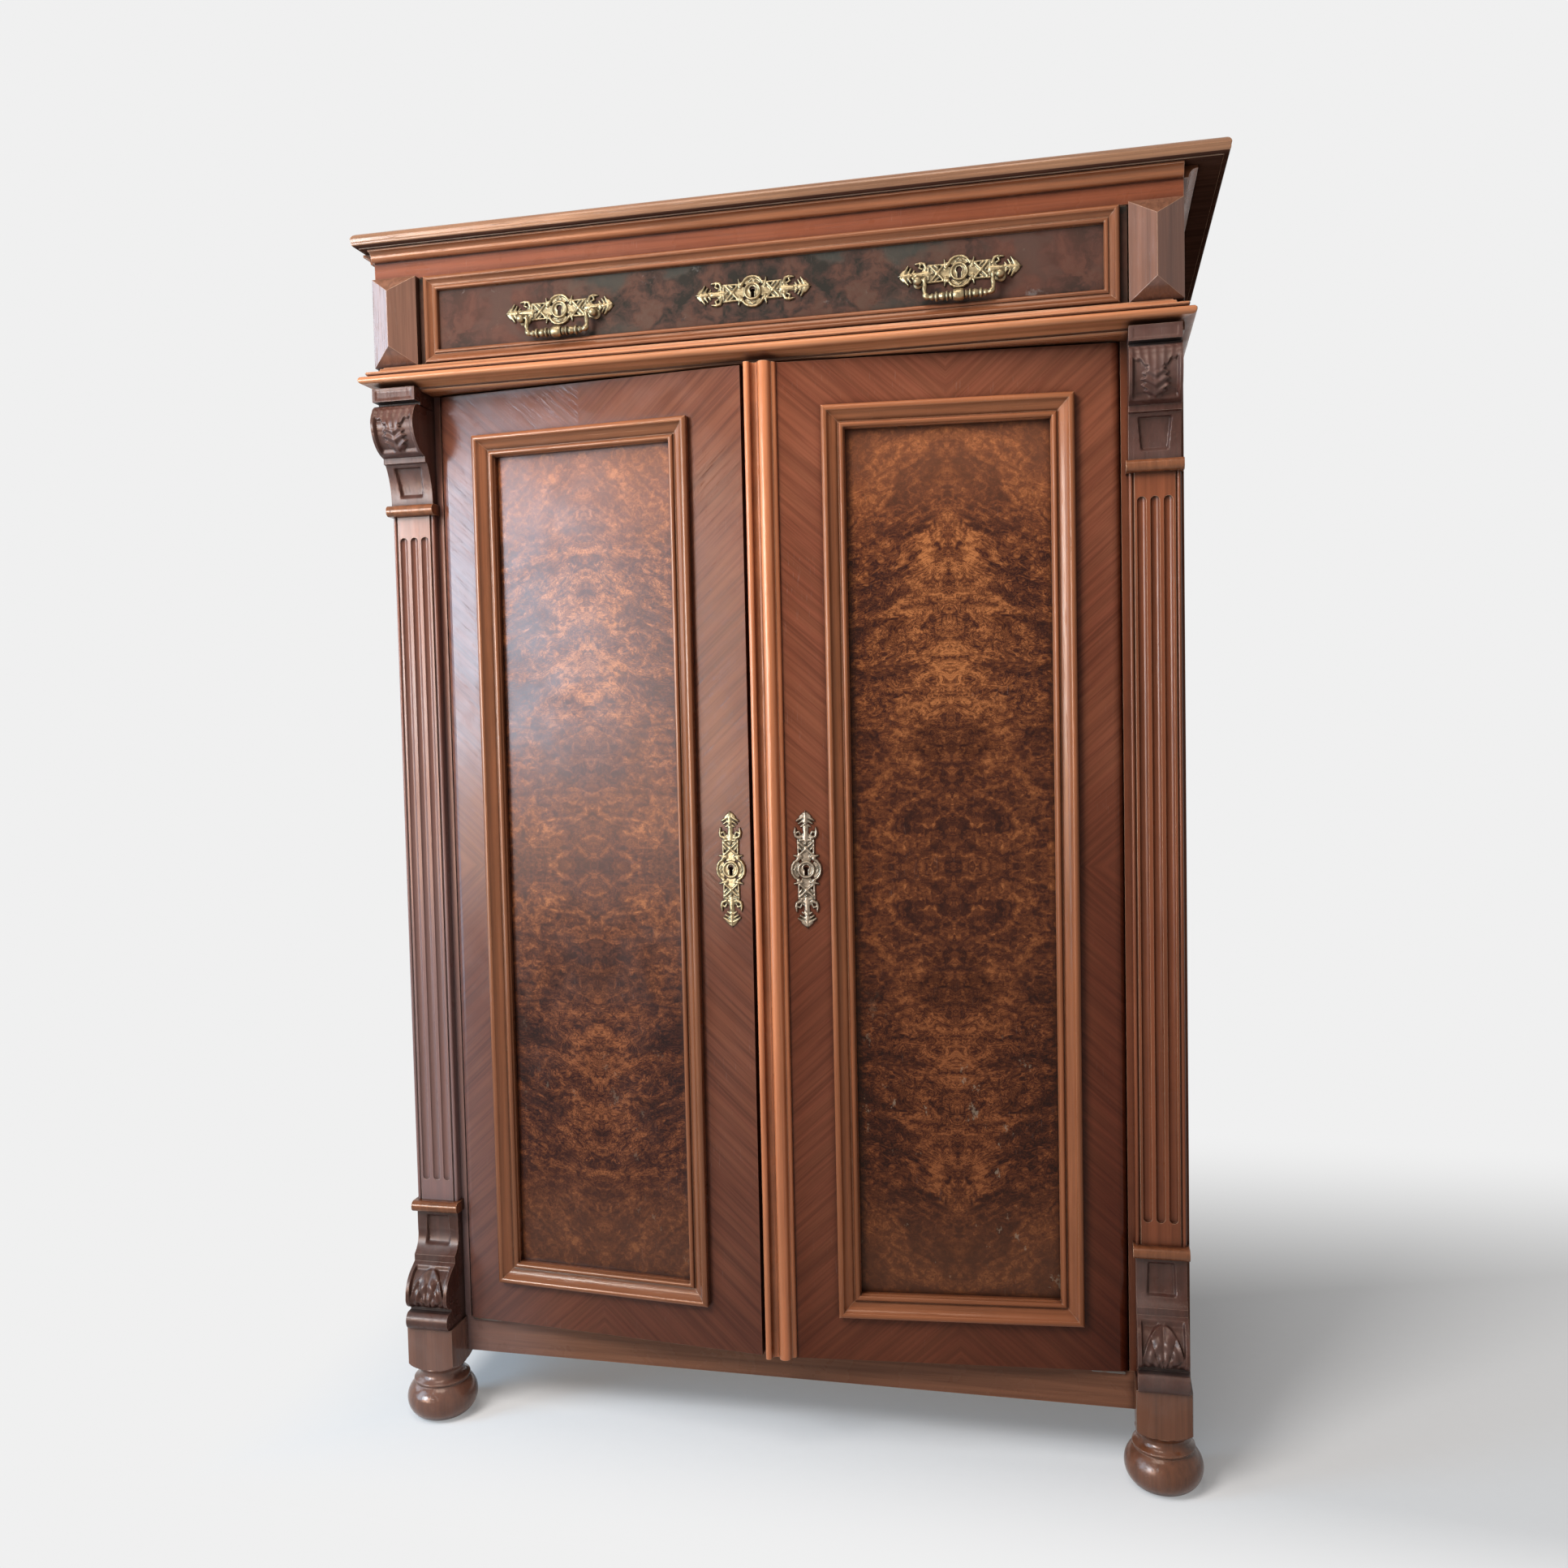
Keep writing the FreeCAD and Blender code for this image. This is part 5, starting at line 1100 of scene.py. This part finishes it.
def dressed_doors():
    c = colours()
    for side, word in WORDS.items():
        dress(word + "_door_frame", slanted_veneer(side))
        dress(word + "_door_panel", door_burl(side))
        band = (side, (0.0, DOOR_MIDDLE_Z), RING_HALF_WIDTH, RING_HALF_HEIGHT)
        finish = {**CREST, "shine": CREST["shine"] if side < 0 else 0.26}
        tone = shaded(c.moulding, 0.86 if side < 0 else 1.02)
        dress(word + "_door_moulding", plain_wood(word + "_door_moulding_wood", tone, "Z", band, wear=0.30, **finish))
    # Painted highlight: the astragal takes the moulding colour brightened 2.05 times, as if it caught the light.
    dress("door_astragal", plain_wood("astragal_wood", shaded(c.moulding, 2.05), "Z", wear=0.34, **CREST))


def dressed_drawer():
    low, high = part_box("drawer_moulding")
    middle = (low + high) / 2
    band = (0, (middle.x, middle.z), (high.x - low.x) / 2, (high.z - low.z) / 2)
    dress("drawer_moulding", plain_wood("drawer_moulding_wood", shaded(colours().moulding, 0.72), "X", band, wear=0.30,
                                        **CREST))
    dress("drawer_front", drawer_burl())


# Studio

CAMERA_PLACE = (0.339754, -1.690505, 0.851475)
CAMERA_YAW, CAMERA_PITCH, CAMERA_ROLL = 0.2224, -0.04943, -0.02221
FLOOR_DARK, FLOOR_LIGHT = (0.765, 0.780, 0.800), (0.795, 0.810, 0.830)
SHADOW_HALF_WIDTH, SHADOW_FRONT, SHADOW_BACK = 0.47, -0.20, 0.26


def studio_floor():
    """A floor that shows the shadow about the cupboard and fades into the surround away from it."""
    work = bmesh.new()
    bmesh.ops.create_grid(work, x_segments=24, y_segments=24, size=9.0)
    mesh = bpy.data.meshes.new("studio_floor")
    work.to_mesh(mesh)
    work.free()
    floor = bpy.data.objects.new("studio_floor", mesh)
    bpy.context.scene.collection.objects.link(floor)
    made, tree, place = new_material("studio_floor")
    level = studio().backdrop
    paper = tree.blend(tree.noise(place, 60.0), FLOOR_DARK, FLOOR_LIGHT)
    matt = tree.put("ShaderNodeBsdfPrincipled", {"Base Color": paper, "Roughness": 0.9, "Specular IOR Level": 0.0})[0]
    glow = tree.put("ShaderNodeEmission", {"Color": (level, level, level), "Strength": 1.0})[0]
    x, y, _ = tree.split(place)
    aside = tree.calc("MAXIMUM", -SHADOW_HALF_WIDTH - x, (x - SHADOW_HALF_WIDTH) * 0.10)
    away = tree.calc("MAXIMUM", SHADOW_FRONT - y, (y - SHADOW_BACK) * 0.30)
    fade = tree.span(tree.calc("MAXIMUM", aside, away), -0.10, 0.24)
    path = tree.put("ShaderNodeLightPath")
    seen = tree.calc("MAXIMUM", path["Is Camera Ray"], path["Is Glossy Ray"])
    # Painted light: at least 0.22 of the glow is mixed in everywhere, which lifts the cupboard's shadow on the floor.
    mixed = tree.put("ShaderNodeMixShader", {0: tree.calc("MAXIMUM", fade, 0.22) * seen, 1: matt, 2: glow})[0]
    tree.put("ShaderNodeOutputMaterial", {0: mixed})
    mesh.materials.append(made)


def studio_world():
    world = bpy.data.worlds.new("pale_room")
    bpy.context.scene.world = world
    world.use_nodes = True
    tree = ShaderTree(world.node_tree)
    level = studio().backdrop
    seen = tree.put("ShaderNodeBackground", {"Color": (level, level, level), "Strength": 1.0})[0]
    light = tree.put("ShaderNodeBackground", {"Color": (1.0, 0.99, 0.98), "Strength": studio().ambient})[0]
    path = tree.put("ShaderNodeLightPath")
    direct = tree.calc("MAXIMUM", path["Is Glossy Ray"], path["Is Transmission Ray"])
    direct = tree.calc("MAXIMUM", path["Is Camera Ray"], direct)
    tree.put("ShaderNodeOutputWorld", {0: tree.put("ShaderNodeMixShader", {0: direct, 1: light, 2: seen})[0]})


def lamp(name, place, target, wide, high, power, colour, mirrored=True, lights=True):
    """A soft lamp; one that isn't mirrored leaves no glare, and one that doesn't light is seen in the polish only."""
    data = bpy.data.lights.new(name, "AREA")
    data.shape = "RECTANGLE"
    data.size, data.size_y = wide, high
    data.energy = power
    data.color = colour
    made = bpy.data.objects.new(name, data)
    made.location = place
    made.rotation_euler = (Vector(target) - Vector(place)).to_track_quat("-Z", "Y").to_euler()
    made.visible_glossy = mirrored
    made.visible_diffuse = lights
    made.visible_camera = False
    bpy.context.scene.collection.objects.link(made)


def studio_camera():
    level = math.cos(CAMERA_PITCH)
    ahead = Vector((-math.sin(CAMERA_YAW) * level, math.cos(CAMERA_YAW) * level, math.sin(CAMERA_PITCH)))
    right = Vector((math.cos(CAMERA_YAW), math.sin(CAMERA_YAW), 0.0))
    up = right.cross(ahead)
    c, s = math.cos(CAMERA_ROLL), math.sin(CAMERA_ROLL)
    data = bpy.data.cameras.new("camera")
    data.lens = studio().lens
    data.sensor_width = 36.0
    made = bpy.data.objects.new("camera", data)
    turn = Matrix((c * right + s * up, c * up - s * right, -ahead)).transposed().to_4x4()
    made.matrix_world = Matrix.Translation(CAMERA_PLACE) @ turn
    bpy.context.scene.collection.objects.link(made)
    bpy.context.scene.camera = made


def studio_set():
    studio_floor()
    studio_world()
    power = studio()
    lamp("window", (-2.49, -3.07, 1.30), (-0.42, -0.12, 1.28), 1.00, 1.17, power.window_power, (0.38, 0.72, 1.0),
         lights=False)
    lamp("bright_wall", (-2.13, -3.25, 1.03), (-0.15, -0.2, 1.03), 1.6, 1.7, power.wall_power, (1.0, 0.765, 0.61),
         lights=False)
    lamp("left_light", (-1.90, -1.20, 0.90), (-0.30, -0.25, 0.75), 0.7, 1.5, power.left_power, (0.42, 0.72, 1.0))
    lamp("side_window", (-2.60, -0.20, 1.62), (-0.50, -0.20, 1.30), 1.0, 1.4, power.side_power, (0.62, 0.80, 1.0),
         lights=False)
    lamp("key", (-1.00, -1.95, 2.13), (-0.05, -0.2, 0.95), 1.0, 0.9, power.key_power, (1.0, 0.96, 0.92), mirrored=False)
    lamp("ceiling", (-0.30, -1.35, 2.73), (-0.20, -0.25, 1.2), 1.3, 0.8, power.top_power, (1.0, 0.94, 0.88))
    studio_camera()
    bpy.context.scene.view_settings.view_transform = "Standard"


# Operators and panel


class CUPBOARD_OT_carcass(Operator):
    """Polish the carcass, its mouldings and the bare wood inside"""
    bl_idname = "cupboard.carcass"
    bl_label = "Carcass woods"

    def execute(self, context):
        carcass_woods()
        return {"FINISHED"}


class CUPBOARD_OT_doors(Operator):
    """Lay the slanted veneer, the matched burl and the mouldings of the doors"""
    bl_idname = "cupboard.doors"
    bl_label = "Door veneers"

    def execute(self, context):
        dressed_doors()
        return {"FINISHED"}


class CUPBOARD_OT_drawer(Operator):
    """Lay the dark burl and the moulding of the drawer front"""
    bl_idname = "cupboard.drawer"
    bl_label = "Drawer veneer"

    def execute(self, context):
        dressed_drawer()
        return {"FINISHED"}


class CUPBOARD_OT_legs(Operator):
    """Turn the two front legs"""
    bl_idname = "cupboard.legs"
    bl_label = "Turned legs"

    def execute(self, context):
        front_legs()
        return {"FINISHED"}


class CUPBOARD_OT_consoles(Operator):
    """Carve the upper and lower scroll brackets"""
    bl_idname = "cupboard.consoles"
    bl_label = "Carved brackets"

    def execute(self, context):
        carved_consoles("upper_consoles", UPPER_SIDE, UPPER_HEIGHT, upper_carving, "carved_upper_brackets")
        carved_consoles("lower_consoles", LOWER_SIDE, LOWER_HEIGHT, lower_carving, "carved_lower_brackets")
        return {"FINISHED"}


class CUPBOARD_OT_plates(Operator):
    """Cast the key plates and the plates and posts of the drawer pulls"""
    bl_idname = "cupboard.plates"
    bl_label = "Cast plates"

    def execute(self, context):
        brass_plates()
        return {"FINISHED"}


class CUPBOARD_OT_bails(Operator):
    """Turn the two swinging bails"""
    bl_idname = "cupboard.bails"
    bl_label = "Bails"

    def execute(self, context):
        swinging_bails()
        return {"FINISHED"}


class CUPBOARD_OT_ironwork(Operator):
    """Finish the pivots, locks and bolts, with their screws"""
    bl_idname = "cupboard.ironwork"
    bl_label = "Ironwork"

    def execute(self, context):
        ironwork()
        return {"FINISHED"}


class CUPBOARD_OT_stage(Operator):
    """Set the floor, the surround, the lamps and the camera"""
    bl_idname = "cupboard.stage"
    bl_label = "Studio"

    def execute(self, context):
        studio_set()
        return {"FINISHED"}


OPERATORS = (CUPBOARD_OT_carcass, CUPBOARD_OT_doors, CUPBOARD_OT_drawer, CUPBOARD_OT_legs, CUPBOARD_OT_consoles,
             CUPBOARD_OT_plates, CUPBOARD_OT_bails, CUPBOARD_OT_ironwork, CUPBOARD_OT_stage)


class CUPBOARD_PT_panel(Panel):
    """Sizes, colours and steps of the cupboard"""
    bl_idname = "CUPBOARD_PT_panel"
    bl_label = "Cupboard"
    bl_space_type = "VIEW_3D"
    bl_region_type = "UI"
    bl_category = "Cupboard"

    def draw(self, context):
        for group in (context.scene.cupboard_sizes, context.scene.cupboard_colours, context.scene.cupboard_studio):
            box = self.layout.box()
            for key in group.__annotations__:
                box.prop(group, key)
        column = self.layout.column()
        for operator in OPERATORS:
            column.operator(operator.bl_idname)


CLASSES = (CupboardSizes, CupboardColours, CupboardStudio) + OPERATORS + (CUPBOARD_PT_panel,)


def register():
    for cls in CLASSES:
        bpy.utils.register_class(cls)
    bpy.types.Scene.cupboard_sizes = PointerProperty(type=CupboardSizes)
    bpy.types.Scene.cupboard_colours = PointerProperty(type=CupboardColours)
    bpy.types.Scene.cupboard_studio = PointerProperty(type=CupboardStudio)


def unregister():
    del bpy.types.Scene.cupboard_studio
    del bpy.types.Scene.cupboard_colours
    del bpy.types.Scene.cupboard_sizes
    for cls in reversed(CLASSES):
        bpy.utils.unregister_class(cls)


def main():
    register()
    bpy.ops.cupboard.carcass()
    bpy.ops.cupboard.doors()
    bpy.ops.cupboard.drawer()
    bpy.ops.cupboard.legs()
    bpy.ops.cupboard.consoles()
    bpy.ops.cupboard.plates()
    bpy.ops.cupboard.bails()
    bpy.ops.cupboard.ironwork()
    bpy.ops.cupboard.stage()


if __name__ == "__main__":
    main()
